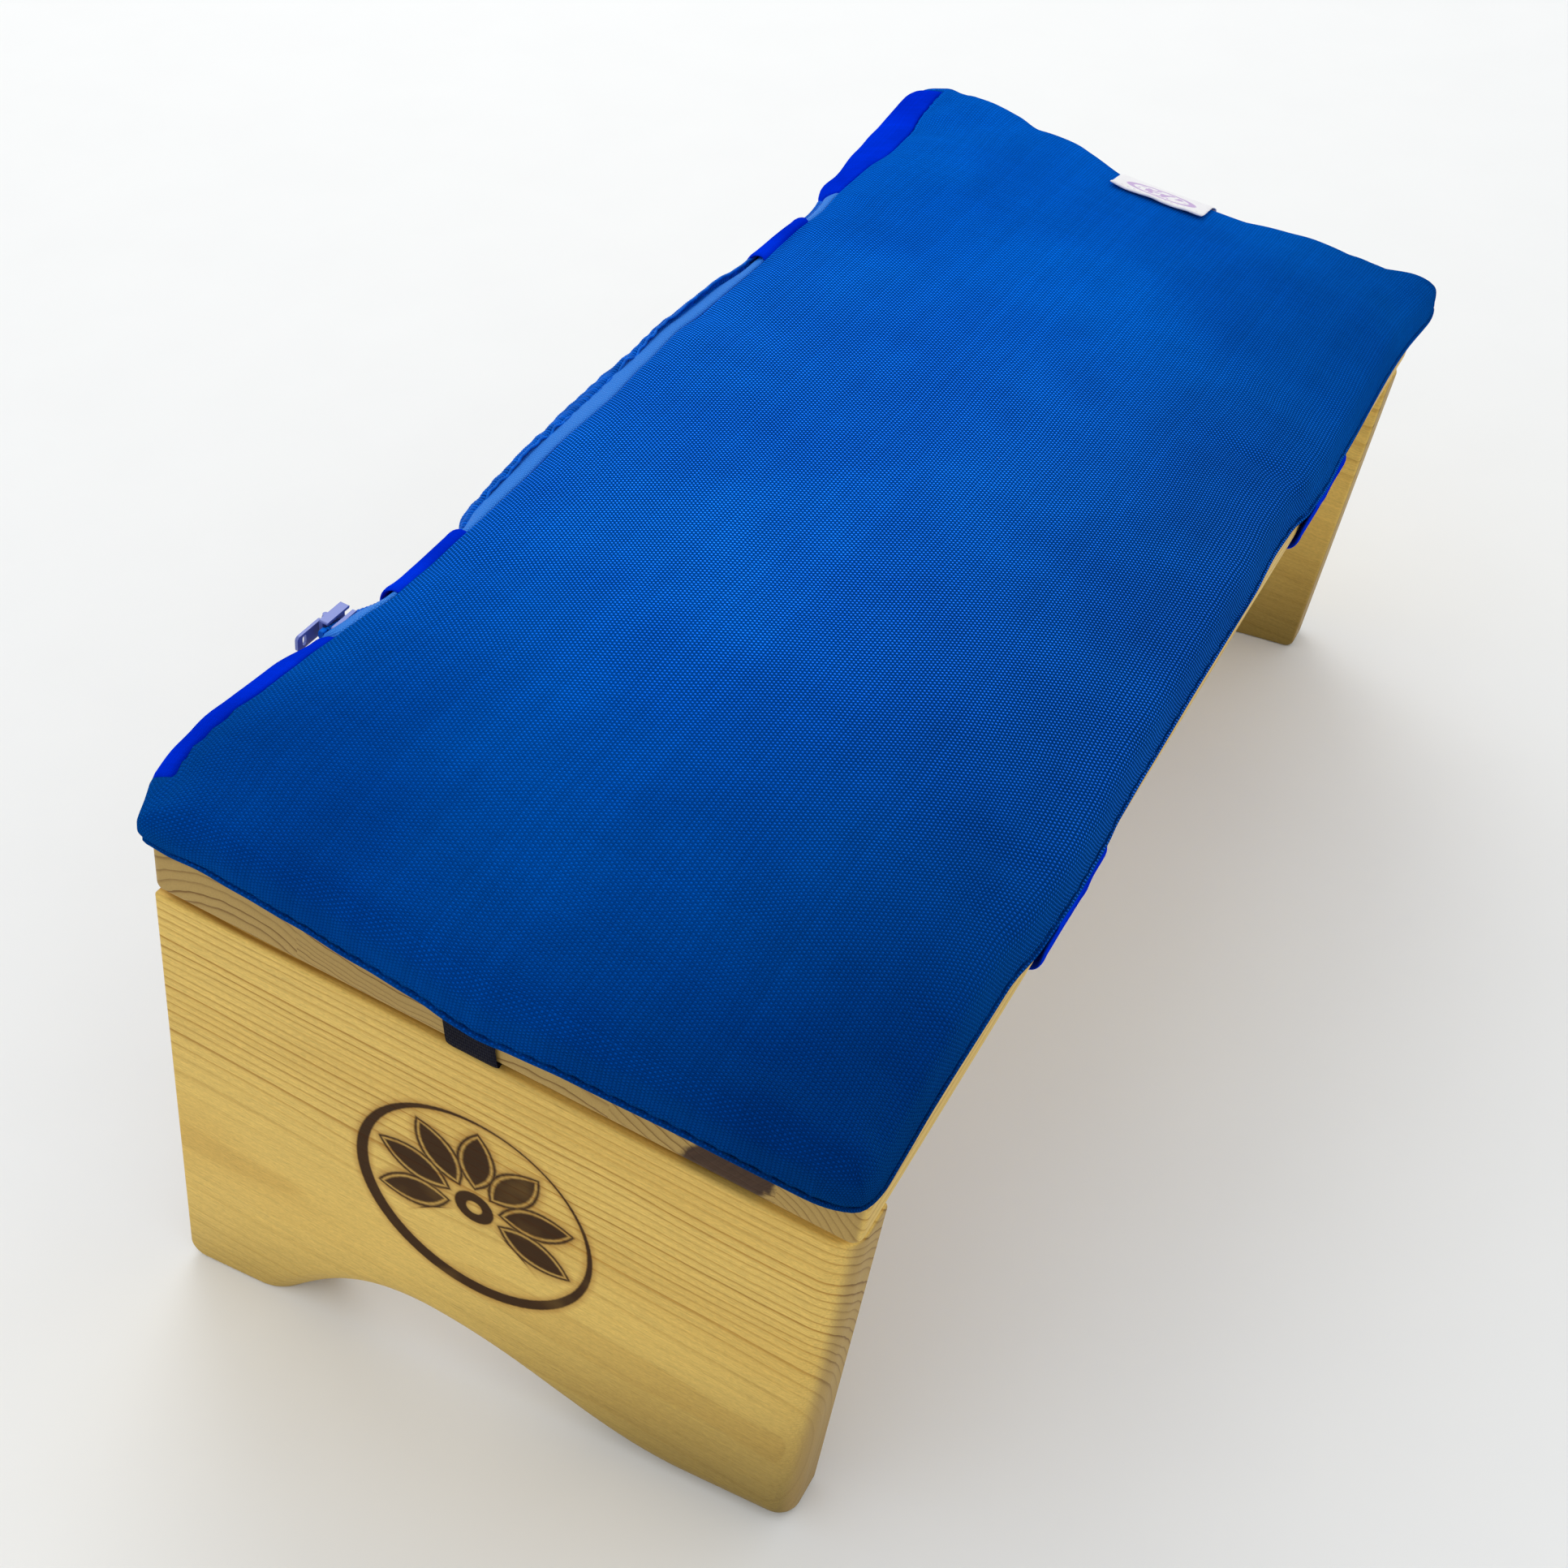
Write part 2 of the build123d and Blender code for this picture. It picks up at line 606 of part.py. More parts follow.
os.makedirs("parts", exist_ok=True)
make_seat_staves()
for leg_name, leg_side in SIDES.items():
    make_leg(leg_name, leg_side)
    for hinge_name, hinge_middle in (("front", -HINGE_SPREAD), ("back", HINGE_SPREAD)):
        make_hinge(f"{leg_name}_{hinge_name}", leg_side, hinge_middle)
    make_screws(f"screws_{leg_name}_seat", seat.offset(-LEAF), seat, seat_screws(leg_side))
    make_screws(f"screws_{leg_name}_leg", leg_face(leg_side, LEAF), leg_face(leg_side), leg_screws())
    make_strap(leg_name)
    make_end_strap(leg_name, leg_side)
make_tacks()
make_cushion()
make_zip()
make_slider()
make_label()
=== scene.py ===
import json
import math

import bpy
import numpy as np
from mathutils import Matrix, Vector, noise
from mathutils.bvhtree import BVHTree

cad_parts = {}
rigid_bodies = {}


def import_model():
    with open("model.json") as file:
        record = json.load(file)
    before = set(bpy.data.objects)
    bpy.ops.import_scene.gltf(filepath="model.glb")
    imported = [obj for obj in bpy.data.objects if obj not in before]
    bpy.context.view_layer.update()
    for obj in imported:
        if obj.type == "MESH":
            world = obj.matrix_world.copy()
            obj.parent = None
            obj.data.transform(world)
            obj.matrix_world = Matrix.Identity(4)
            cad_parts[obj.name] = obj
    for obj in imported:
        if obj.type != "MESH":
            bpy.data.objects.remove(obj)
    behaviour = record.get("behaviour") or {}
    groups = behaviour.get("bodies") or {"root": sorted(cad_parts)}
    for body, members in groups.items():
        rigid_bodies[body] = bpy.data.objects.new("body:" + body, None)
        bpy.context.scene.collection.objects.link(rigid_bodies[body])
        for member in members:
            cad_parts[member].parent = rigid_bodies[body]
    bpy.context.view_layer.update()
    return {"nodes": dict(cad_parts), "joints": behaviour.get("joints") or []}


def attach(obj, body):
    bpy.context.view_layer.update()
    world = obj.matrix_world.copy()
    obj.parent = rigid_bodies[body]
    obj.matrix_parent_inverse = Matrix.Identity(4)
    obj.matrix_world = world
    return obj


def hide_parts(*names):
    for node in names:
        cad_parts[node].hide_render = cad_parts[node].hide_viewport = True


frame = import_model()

# A folding kneeling bench: pine seat and legs, steel butt hinges, and a box cushion held on by straps.
# Everything made here is placed in the seat's own frame, in millimetres: x runs along the bench, y up the
# slope to the back, and z out of the seat's top, with the origin in the middle of the seat's underside.

PIN_DROP = 0.003          # metres from the hinge pins up to the seat's underside
MM = 0.001                # metres in a millimetre


# ---------------------------------------------------------------- the seat's frame

joints = {joint["name"]: joint for joint in frame["joints"]}
near_fold, far_fold = joints["leg_near_fold"], joints["leg_far_fold"]
BACK = -Vector(near_fold["axis"])
LENGTH = Vector((1, 0, 0))
UP = LENGTH.cross(BACK)
ORIGIN = (Vector(near_fold["pos_m"]) + Vector(far_fold["pos_m"])) / 2 + UP * PIN_DROP
SLOPE = math.atan2(BACK.z, BACK.y)
SEAT = Matrix((LENGTH, BACK, UP)).transposed().to_4x4()
SEAT.translation = ORIGIN
SEAT = SEAT @ Matrix.Scale(MM, 4)
TO_SEAT = SEAT.inverted()


def local_box(*names):
    """The lowest and highest corner of some CAD nodes in the seat's frame, in millimetres."""
    points = np.array([TO_SEAT @ v.co for name in names for v in frame["nodes"][name].data.vertices])
    return points.min(0), points.max(0)


def smoothstep(value, low, high):
    share = np.clip((np.asarray(value, float) - low) / (high - low), 0, 1)
    return share * share * (3 - 2 * share)


def eased(value, knots):
    """A smooth run through listed (place, amount) knots."""
    places, amounts = (np.array(column, float) for column in zip(*knots))
    value = np.asarray(value, float)
    index = np.clip(np.searchsorted(places, value) - 1, 0, len(places) - 2)
    share = smoothstep((value - places[index]) / (places[index + 1] - places[index]), 0, 1)
    return amounts[index] + (amounts[index + 1] - amounts[index]) * share


def rough(points, size, seed=0.0):
    """Smooth noise from -1 to 1 at each point, with bumps of about that size."""
    return np.array([noise.noise(Vector(p) / size + Vector((seed, 2 * seed, 0))) for p in points])


# ---------------------------------------------------------------- shader nodes

def node_method(operation, swapped=False):
    """A method of Wire that adds one maths node."""
    def apply(self, *others):
        values = (self, *others)
        return self.net.math(operation, *(values[::-1] if swapped else values))
    return apply


class Wire:
    """A shader value that takes part in sums, so that a pattern reads like its formula."""

    def __init__(self, net, socket):
        self.net, self.socket = net, socket

    __add__ = __radd__ = node_method("ADD")
    __mul__ = __rmul__ = node_method("MULTIPLY")
    __sub__, __rsub__ = node_method("SUBTRACT"), node_method("SUBTRACT", swapped=True)
    __truediv__, __abs__ = node_method("DIVIDE"), node_method("ABSOLUTE")
    fract, floor, sine = node_method("FRACT"), node_method("FLOOR"), node_method("SINE")
    largest, smallest = node_method("MAXIMUM"), node_method("MINIMUM")

    def wave(self, pitch):
        """Goes smoothly from 0 to 1 and back once in each pitch."""
        return (self * (math.tau / pitch)).sine() * 0.5 + 0.5

    def step(self, low, high):
        """0 below low, 1 above high, and smooth between. It falls instead if low is the higher."""
        return self.net.wired("ShaderNodeMapRange", (self, low, high), interpolation_type="SMOOTHSTEP")


class Net:
    """One material's node tree."""

    def __init__(self, name):
        self.material = bpy.data.materials.new(name)
        self.material.use_nodes = True
        self.tree = self.material.node_tree
        self.tree.nodes.clear()

    def add(self, kind, **settings):
        node = self.tree.nodes.new(kind)
        for key, value in settings.items():
            setattr(node, key, value)
        return node

    def put(self, socket, value):
        if isinstance(value, Wire):
            self.tree.links.new(value.socket, socket)
        elif hasattr(value, "__len__") and socket.type == "RGBA":
            socket.default_value = (*value, 1)
        else:
            socket.default_value = value

    def wired(self, kind, inputs, output=0, **settings):
        """A new node with inputs set, in order or by name or number, and the wire from one of its outputs."""
        node = self.add(kind, **settings)
        for key, value in inputs.items() if isinstance(inputs, dict) else enumerate(inputs):
            self.put(node.inputs[key], value)
        return Wire(self, node.outputs[output])

    def math(self, operation, *values):
        return self.wired("ShaderNodeMath", values, operation=operation)

    def length(self, across, up):
        return self.math("SQRT", across * across + up * up)

    def scaled(self, colour, amount):
        return self.wired("ShaderNodeVectorMath", {0: colour, "Scale": amount}, operation="SCALE")

    def split(self, vector):
        node = self.add("ShaderNodeSeparateXYZ")
        self.put(node.inputs[0], vector)
        return [Wire(self, output) for output in node.outputs]

    def join(self, *values):
        return self.wired("ShaderNodeCombineXYZ", values)

    def mix(self, share, first, second):
        return self.wired("ShaderNodeMix", {0: share, 6: first, 7: second}, 2, data_type="RGBA")

    def noise(self, vector, scale=1.0, detail=2.0, roughness=0.5, colour=False):
        inputs = {"Vector": vector, "Scale": scale, "Detail": detail, "Roughness": roughness}
        return self.wired("ShaderNodeTexNoise", inputs, "Color" if colour else "Fac")

    def white(self, value):
        return self.wired("ShaderNodeTexWhiteNoise", {"W": value}, "Value", noise_dimensions="1D")

    def specks(self, vector, size):
        """Small round dots, one to each cell."""
        inputs = {"Vector": vector, "Scale": 1.0}
        return self.wired("ShaderNodeTexVoronoi", inputs, "Distance").step(size, size * 0.5)

    def seat_place(self):
        """x, y and z in the seat's frame, in millimetres."""
        place = self.wired("ShaderNodeTexCoord", (), "Object")
        turn = {"Vector": place, "Location": ORIGIN, "Rotation": (SLOPE, 0, 0), "Scale": (MM, MM, MM)}
        return self.wired("ShaderNodeMapping", turn, vector_type="TEXTURE")

    def facing(self, axis):
        """How squarely the surface faces along an axis, from 0 to 1."""
        normal = self.wired("ShaderNodeTexCoord", (), "Normal")
        return abs(self.wired("ShaderNodeVectorMath", (normal, tuple(axis)), 1, operation="DOT_PRODUCT"))

    def cloth_place(self):
        """The place on the flat cloth, in millimetres along its two threads."""
        return self.scaled(self.wired("ShaderNodeUVMap", (), uv_map="cloth"), 1 / MM)

    def bump(self, height, depth):
        return self.wired("ShaderNodeBump", {"Height": height, "Distance": depth})

    def finish(self, colour, roughness, normal=None, **constants):
        inputs = {"Base Color": colour, "Roughness": roughness} | ({"Normal": normal} if normal else {})
        inputs |= {name.replace("_", " "): value for name, value in constants.items()}
        shader = self.wired("ShaderNodeBsdfPrincipled", inputs)
        self.put(self.add("ShaderNodeOutputMaterial").inputs[0], shader)
        return self.material


# ---------------------------------------------------------------- materials

EARLYWOOD = (0.69, 0.475, 0.124)
LATEWOOD = (0.41, 0.215, 0.036)
BURNT = (0.034, 0.012, 0.003)
SCORCHED = (0.34, 0.14, 0.02)
KNOT = (0.05, 0.024, 0.012)
DEEPER_WOOD = (0.56, 0.34, 0.07)             # the colour of the board's broad darker patches
END_EARLYWOOD = (0.36, 0.235, 0.08)
END_LATEWOOD = (0.15, 0.08, 0.025)

# The ornament burnt into the near leg, in millimetres from its centre
MARK_CENTRE = (1.7, -61.0)
MARK_RADIUS = 35.0
DISC_RADIUS = 4.2
PETALS_ROUND = 10                            # how many would fill the whole circle
PETAL_MIDDLE, PETAL_REACH, PETAL_WIDTH = 19.5, 12.0, 6.2
OUTER_FACE = -235.0                          # the near leg's outer face, where the mark is
LABEL_ROW = 24.0                             # the label's printed oval, along the ribbon


def burnt_ring(net, y, z):
    """A plain ornament burnt into the leg: a fan of pointed petals over a disc, in a ring of uneven width."""
    y, z = y - MARK_CENTRE[0], z - MARK_CENTRE[1]
    ragged = (net.noise(net.join(y, z, 0.0), 0.9, 3.0) - 0.5) * 0.9
    reach = net.length(y, z)
    angle = net.math("ARCTAN2", z, y)
    aside = ((angle * (PETALS_ROUND / math.tau)).fract() - 0.5) * reach * (math.tau / PETALS_ROUND)
    width = 1.35 + (angle - 0.5).sine() * -1.0
    rim = abs(reach - MARK_RADIUS) - width
    along = (reach - PETAL_MIDDLE) / PETAL_REACH
    petal = (abs(aside) / PETAL_WIDTH + along * along - 1.0) * 3.6
    line = abs(petal + 0.9) - 0.24
    fan = (z * -1.0 - reach * 0.61) * 3.0
    disc = abs(reach - DISC_RADIUS) - 1.8
    shape = rim.smallest(petal.largest(0.0 - line).largest(fan)).smallest(disc) + ragged * 0.35
    return shape.step(0.35, -0.35), shape.step(2.4, -0.2)


def make_pine(name, along, pith, spacing, seed, contrast=1.0, tone=1.0, calm=None, knot=False, mark=False):
    """Pine with growth rings round a pith line that runs along the board, fibres, pores and end grain. Where
    calm is given, the rings fade towards the foot and painted shade darkens the leg towards its foot.
    """
    net = Net(name)
    place = net.seat_place()
    x, y, z = net.split(place)
    grain, first = (x, y) if along == "x" else (y, x)
    shift = seed * 37.0

    def grained(length, width, detail, roughness=0.5, colour=False):
        """Noise drawn out along the grain."""
        spot = net.join(grain * length + shift, first * width, z * width)
        return net.noise(spot, 1.0, detail, roughness, colour)

    wander = grained(0.006, 0.014, 1.5, colour=True)
    ripple = grained(0.02, 0.12, 2.0)
    wander_a, wander_b, _ = net.split(wander)
    across = first - pith[0] + (wander_a - 0.5) * 13.0
    rise = z - pith[1] + (wander_b - 0.5) * 13.0 + (ripple - 0.5) * 2.2
    reach = net.length(across, rise)
    years = net.noise(net.join(reach * 0.05 + shift, 0.0, 0.0), 1.0, 2.0)
    phase = reach / spacing + (years - 0.5) * 3.0
    within = phase.fract()
    strength = net.white(phase.floor() + shift) * 0.65 + 0.35
    ring = within.step(0.40, 0.92) * 0.28 + within.step(0.70, 0.90) * 0.72
    ring = ring * within.step(1.0, 0.96) * strength
    if calm is not None:
        ring = ring * (z.step(calm - 35.0, calm) * 0.72 + 0.28)
    fibre = grained(0.03, 1.7, 4.0, 0.65)
    grit = grained(0.7, 2.6, 2.0, 0.6)
    broad = grained(0.01, 0.035, 2.0)
    pores = grained(0.16, 3.2, 1.0).step(0.66, 0.76)
    end = net.facing(LENGTH if along == "x" else BACK).step(0.55, 0.93)

    colour = net.mix(ring * contrast, EARLYWOOD, LATEWOOD)
    colour = net.mix(broad.step(0.42, 0.72) * 0.35, colour, DEEPER_WOOD)
    grain_tone = 1.0 + (fibre - 0.5) * 0.5 + (grit - 0.5) * 0.5
    colour = net.scaled(colour, grain_tone * (1.0 - pores * 0.22) * tone)
    # Painted shade: on the legs the colour darkens towards the foot and the front, where the floor bounce is
    # weak and the arch casts its shadow
    if calm is not None:
        colour = net.scaled(colour, 0.22 + (z + y * 0.35).step(-183.0, -84.0) * 0.78)
    speckle = net.noise(place, 2.4, 2.0)
    end_colour = net.scaled(net.mix(ring, END_EARLYWOOD, END_LATEWOOD), 0.82 + speckle * 0.36)
    colour = net.mix(end * 0.8, colour, end_colour)
    height = ring * -0.55 + fibre * 0.45
    rough_amount = 0.44 + fibre * 0.12 + ring * 0.08
    if knot:
        fuzz = (net.noise(place, 0.35, 3.0) - 0.5) * 5.0
        gap = abs(y + 67.0 + (z - 9.0) * 0.42 + fuzz) + (x + 236.0) * 0.28
        inside = gap.step(12.2, 9.8)
        rays = net.noise(net.join(x * 0.2, y * 1.3 + z * 0.8, z * 0.2), 1.0, 2.0)
        colour = net.mix(inside, colour, net.scaled(KNOT, 0.6 + rays * 0.9))
        rough_amount = rough_amount - inside * 0.12
    if mark:
        burnt, scorched = burnt_ring(net, y, z)
        burnt = burnt * (net.noise(net.join(y, z, 0.0), 0.05, 2.0).step(0.25, 0.45) * 0.12 + 0.88)
        outer = x.step(OUTER_FACE, OUTER_FACE - 0.7)
        grainy = 0.75 + (fibre - 0.5) * 0.9 + (ring - 0.2) * 0.25
        colour = net.mix(scorched * outer * 0.5, colour, SCORCHED)
        colour = net.mix(burnt * outer * 0.97, colour, net.scaled(BURNT, grainy + 0.25))
        height = height - burnt * outer * 1.6
        rough_amount = rough_amount + burnt * outer * 0.2
    normal = net.bump(height, 0.00007)
    return net.finish(colour, rough_amount, normal, Specular_IOR_Level=0.12)


def make_weave(name, thread, pitch, dark, fade, depth, lint=True, rough_amount=0.82, rib=1.0, painted_light=False,
               **constants):
    """Plain weave: each cell shows the warp or the weft, a rounded thread that dips at both its ends. On the
    cover, painted highlights on the thread tops, a painted glint and painted shade towards the near end and
    the front are added as well.
    """
    net = Net(name)
    place = net.cloth_place()
    u, v, _ = net.split(place)
    wave = net.noise(place, 0.035, 2.0, colour=True)
    wave_u, wave_v, _ = net.split(wave)
    warp, weft = u / pitch + (wave_u - 0.5) * 1.6, v / (pitch * rib) + (wave_v - 0.5) * 1.6
    side = warp.fract() * 2.0 - 1.0
    run = weft.fract() * 2.0 - 1.0
    odd = ((warp.floor() + weft.floor()) * 0.5).fract() * 2.0
    over = (1.0 - side * side) * (1.0 - run * run * 0.45)
    under = (1.0 - run * run) * (1.0 - side * side * 0.45)
    height = over * (1.0 - odd) + under * odd
    slub = net.white(warp.floor()) * (1.0 - odd) + net.white(weft.floor() + 0.5) * odd
    hairs = net.noise(net.join(u * 3.0, v * 3.0, 0.0), 1.0, 3.0)
    patch = net.noise(place, 0.012, 3.0)
    mottle = net.noise(place, 0.045, 3.0, 0.6)
    shade = height.step(-0.05, 0.75) * (1.0 - dark) + dark
    if painted_light:
        # Painted highlight: the thread tops are painted bright, most strongly in the middle of the bench,
        # standing in for the sheen the lamps catch there
        x, y, _ = net.split(net.seat_place())
        painted_sheen_share = x.step(-220.0, -60.0) * x.step(210.0, 20.0) * 0.46 + 0.12
        peak = (1.0 - run * run) * (1.0 - side * side * 0.6) * (odd * 0.75 + 0.25)
        shade = 1.0 + (peak * peak * 5.26 - 1.0) * painted_sheen_share
        painted_glint = (shade - 1.3).largest(0.0) * painted_sheen_share * 0.09
        mottle = mottle * 0.45 + 0.25
    amount = shade * (0.90 + slub * 0.16) * (0.86 + hairs * 0.28) * (0.62 + mottle * 0.76)
    colour = net.scaled(net.mix(patch.step(0.35, 0.7), thread, fade), amount)
    if painted_light:
        # Painted shade: the cloth is darkened towards the near end and towards the front edge, where the
        # surface turns away from the lamps
        painted_shade = (x.step(-240.0, -60.0) * 0.5 + 0.5) * (y.step(-105.0, 25.0) * 0.42 + 0.58)
        colour = net.scaled(colour, painted_shade)
        # Painted glint: pale blue mixed into the brightest thread tops
        colour = net.mix(painted_glint.smallest(0.5), colour, (0.30, 0.52, 0.95))
    if lint:
        dots = net.specks(net.join(u * 0.011, v * 0.013, 0.0), 0.012)
        dots = dots.largest(net.specks(net.join(u * 0.03, v * 0.021, 4.0), 0.010))
        colour = net.mix(dots * 0.5, colour, (0.5, 0.6, 0.75))
    normal = net.bump(height + hairs * 0.25, depth)
    return net.finish(colour, rough_amount, normal, **constants)


def make_zip_tape():
    """Ribbed twill: slanting ribs over fine cross threads."""
    net = Net("zip_tape_twill")
    u, v, _ = net.split(net.cloth_place())
    rib, thread = (u * 0.9 + v * 0.55).wave(0.95), (v - u * 0.2).wave(0.42)
    hairs = net.noise(net.join(u, v, 0.0), 2.5, 3.0)
    colour = net.mix(rib * thread, (0.010, 0.15, 0.62), (0.085, 0.36, 0.95))
    colour = net.scaled(colour, 0.82 + hairs * 0.36)
    normal = net.bump(rib * 0.7 + thread * 0.5, 0.00014)
    return net.finish(colour, 0.62, normal, Specular_IOR_Level=0.08)


def make_label_cloth():
    """White satin ribbon with an oval outline and loose woven strokes in it."""
    net = Net("label_satin")
    u, v, _ = net.split(net.cloth_place())
    rows, columns = u.wave(0.38), v.wave(0.30)
    hairs = net.noise(net.join(u, v, 0.0), 3.0, 2.0)
    across, row = v / 12.5, (u - LABEL_ROW) / 3.4
    oval = net.length(across, row)
    outline = abs(oval - 1.0).step(0.16, 0.08)
    strokes = net.noise(net.join(v * 0.32, (u + v * 0.35) * 0.6, 3.0), 1.0, 1.0).step(0.47, 0.54)
    strokes = strokes * oval.step(0.86, 0.70)
    printed = outline.largest(strokes) * (0.55 + hairs * 0.6) * (0.6 + rows * 0.4)
    colour = net.mix(printed, (0.95, 0.94, 0.96), (0.40, 0.13, 0.60))
    colour = net.scaled(colour, 0.86 + rows * 0.07 + columns * 0.07)
    return net.finish(colour, 0.48, net.bump(rows * 0.6 + columns * 0.4, 0.00008), Sheen_Weight=0.25)


def make_plain(name, colour, roughness, grit, depth, **constants):
    """A solid finish with fine grit, faint smudges, and a little change of tone."""
    net = Net(name)
    place = net.seat_place()
    fine = net.noise(place, grit, 3.0)
    smudge = net.noise(place, grit * 0.12, 3.0)
    tint = net.scaled(colour, 0.9 + smudge * 0.2)
    normal = net.bump(fine, depth)
    return net.finish(tint, roughness + (smudge - 0.5) * 0.18 + (fine - 0.5) * 0.08, normal, **constants)


def make_brushed_steel():
    """Zinc-plated plate: brushed along one way, with faint spangle."""
    net = Net("zinc_plated_steel")
    place = net.seat_place()
    x, y, z = net.split(place)
    brushed = net.noise(net.join(x * 6.0, y * 0.25, z * 6.0), 1.0, 3.0)
    spangle = net.noise(place, 0.4, 2.0)
    colour = net.scaled(net.mix(spangle, (0.62, 0.62, 0.60), (0.78, 0.76, 0.70)), 0.85 + brushed * 0.3)
    roughness = 0.26 + brushed * 0.16 + spangle * 0.08
    return net.finish(colour, roughness, net.bump(brushed, 0.00004), Metallic=1.0)


def make_hook_and_loop():
    """Short tangled loops."""
    net = Net("hook_and_loop_pile")
    place = net.seat_place()
    pile = net.noise(place, 1.6, 4.0, 0.7)
    rows = net.split(place)[0].wave(1.6)
    colour = net.scaled((0.012, 0.045, 0.30), 0.5 + pile * 0.8 + rows * 0.15)
    return net.finish(colour, 0.88, net.bump(pile + rows * 0.3, 0.0006), Sheen_Weight=0.3)


TONE_PITCH = 1.3                             # about one loop of the coil


def make_coil_nylon():
    """Moulded nylon, slightly glossy, with a change of tone about every loop."""
    net = Net("zip_coil_nylon")
    place = net.seat_place()
    x, _, _ = net.split(place)
    each = net.white((x / TONE_PITCH).floor())
    colour = net.scaled((0.0, 0.12, 0.60), 0.8 + each * 0.4)
    normal = net.bump(net.noise(place, 5.0, 2.0), 0.00003)
    return net.finish(colour, 0.5, normal, Specular_IOR_Level=0.05)


COVER = make_weave(
    "cover_canvas", (0.0, 0.092, 0.57), 0.635, 0.0, (0.0, 0.118, 0.65), 0.0003, rib=1.57, painted_light=True,
    Sheen_Weight=0.22, Sheen_Roughness=0.35, Sheen_Tint=(0.02, 0.40, 1.0), Specular_IOR_Level=0.0,
)
LINING = make_weave(
    "lining_taffeta", (0.0, 0.024, 0.66), 0.32, 0.6, (0.0, 0.034, 0.76), 0.00005, lint=False,
    rough_amount=0.55, Specular_IOR_Level=0.0,
)
WEBBING = make_weave(
    "black_webbing", (0.007, 0.007, 0.016), 1.1, 0.35, (0.012, 0.012, 0.024), 0.0003, lint=False,
    rough_amount=0.7, rib=0.6, Specular_IOR_Level=0.08,
)
ZIP_TAPE = make_zip_tape()
ZIP_COIL = make_coil_nylon()
LABEL_CLOTH = make_label_cloth()
STEEL = make_brushed_steel()
HOOK_AND_LOOP = make_hook_and_loop()
SLIDER_PAINT = make_plain(
    "slider_paint", (0.13, 0.17, 0.46), 0.38, 4.0, 0.00002, Metallic=0.3, Coat_Weight=0.3
)
WHITE_THREAD = make_plain("white_thread", (0.75, 0.74, 0.78), 0.55, 9.0, 0.00005)

# The pith each board was sawn round: across and up for a stave, along the bench and up for a leg.
STAVES = (
    # pith, ring spacing, seed, contrast, tone
    ((72.0, -26.0), 3.6, 1.3, 1.0, 0.92),
    ((30.0, 95.0), 2.0, 2.7, 0.8, 0.90),
    ((-20.0, -60.0), 3.4, 4.1, 0.8, 1.0),
    ((-70.0, 55.0), 2.9, 5.9, 0.9, 0.97),
    ((-70.0, -14.0), 2.5, 7.7, 1.0, 1.0),
)
for number, (pith, spacing, seed, contrast, tone) in enumerate(STAVES, start=1):
    frame["nodes"][f"seat_stave_{number}"].data.materials[0] = make_pine(
        f"pine_stave_{number}", "x", pith, spacing, seed, contrast, tone, knot=number in (3, 4)
    )
LEGS = {
    "near": make_pine("pine_leg_near", "y", (-292.0, -98.0), 2.7, 9.1, 1.0, 1.06, calm=-50.0, mark=True),
    "far": make_pine("pine_leg_far", "y", (275.0, -70.0), 5.0, 12.4, 0.5, 1.1, calm=-60.0),
}
for end, material in LEGS.items():
    frame["nodes"][f"leg_{end}"].data.materials[0] = material
for name, node in frame["nodes"].items():
    if name.startswith(("hinge_", "screws_", "end_strap_tacks")):
        node.data.materials[0] = STEEL
    elif name in ("zip_slider", "zip_pull_tab"):
        node.data.materials[0] = SLIDER_PAINT
    elif name in ("zip_top_stops", "zip_bottom_stop"):
        node.data.materials[0] = ZIP_COIL


def soften(name, width):
    """Rounds a CAD node's sharp edges a little, as its real piece has them."""
    bevel = frame["nodes"][name].modifiers.new("soft_edges", "BEVEL")
    bevel.width, bevel.segments, bevel.limit_method = width, 2, "ANGLE"
    bevel.angle_limit = math.radians(50)
    bevel.harden_normals = False


for name in ("zip_slider", "zip_pull_tab"):
    soften(name, 0.00018)
for name in frame["nodes"]:
    if name.startswith("hinge_") and name.endswith("_leaf"):
        soften(name, 0.0002)


# ---------------------------------------------------------------- meshes

def new_mesh(name, points, faces, flat=None):
    """A mesh, with each point's place on the flat cloth as its UV if that is given."""
    mesh = bpy.data.meshes.new(name)
    mesh.from_pydata([tuple(p) for p in points], [], [tuple(int(i) for i in face) for face in faces])
    if flat is not None:
        layer = mesh.uv_layers.new(name="cloth")
        corners = np.empty(len(mesh.loops), int)
        mesh.loops.foreach_get("vertex_index", corners)
        layer.data.foreach_set("uv", flat[corners].ravel())
    return mesh


def linked(name, data):
    """A new object in the scene."""
    thing = bpy.data.objects.new(name, data)
    bpy.context.scene.collection.objects.link(thing)
    return thing


def subdivided(piece):
    smoothing = piece.modifiers.new("smoother", "SUBSURF")
    smoothing.levels = smoothing.render_levels = 1
    return smoothing


def make_piece(name, points, faces, material, stands_for=(), flat=None):
    """A mesh in the seat's frame, in millimetres, made into a piece that rides on the seat."""
    mesh = new_mesh(name, points, faces, None if flat is None else flat * MM)
    mesh.transform(SEAT)
    mesh.shade_smooth()
    mesh.materials.append(material)
    piece = linked(name, mesh)
    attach(piece, "seat")
    if stands_for:
        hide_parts(*stands_for)
    return piece


def grid_faces(rows, columns, start=0, flip=False):
    faces = []
    for i in range(rows - 1):
        for j in range(columns - 1):
            a = start + i * columns + j
            face = (a, a + columns, a + columns + 1, a + 1)
            faces.append(face[::-1] if flip else face)
    return faces


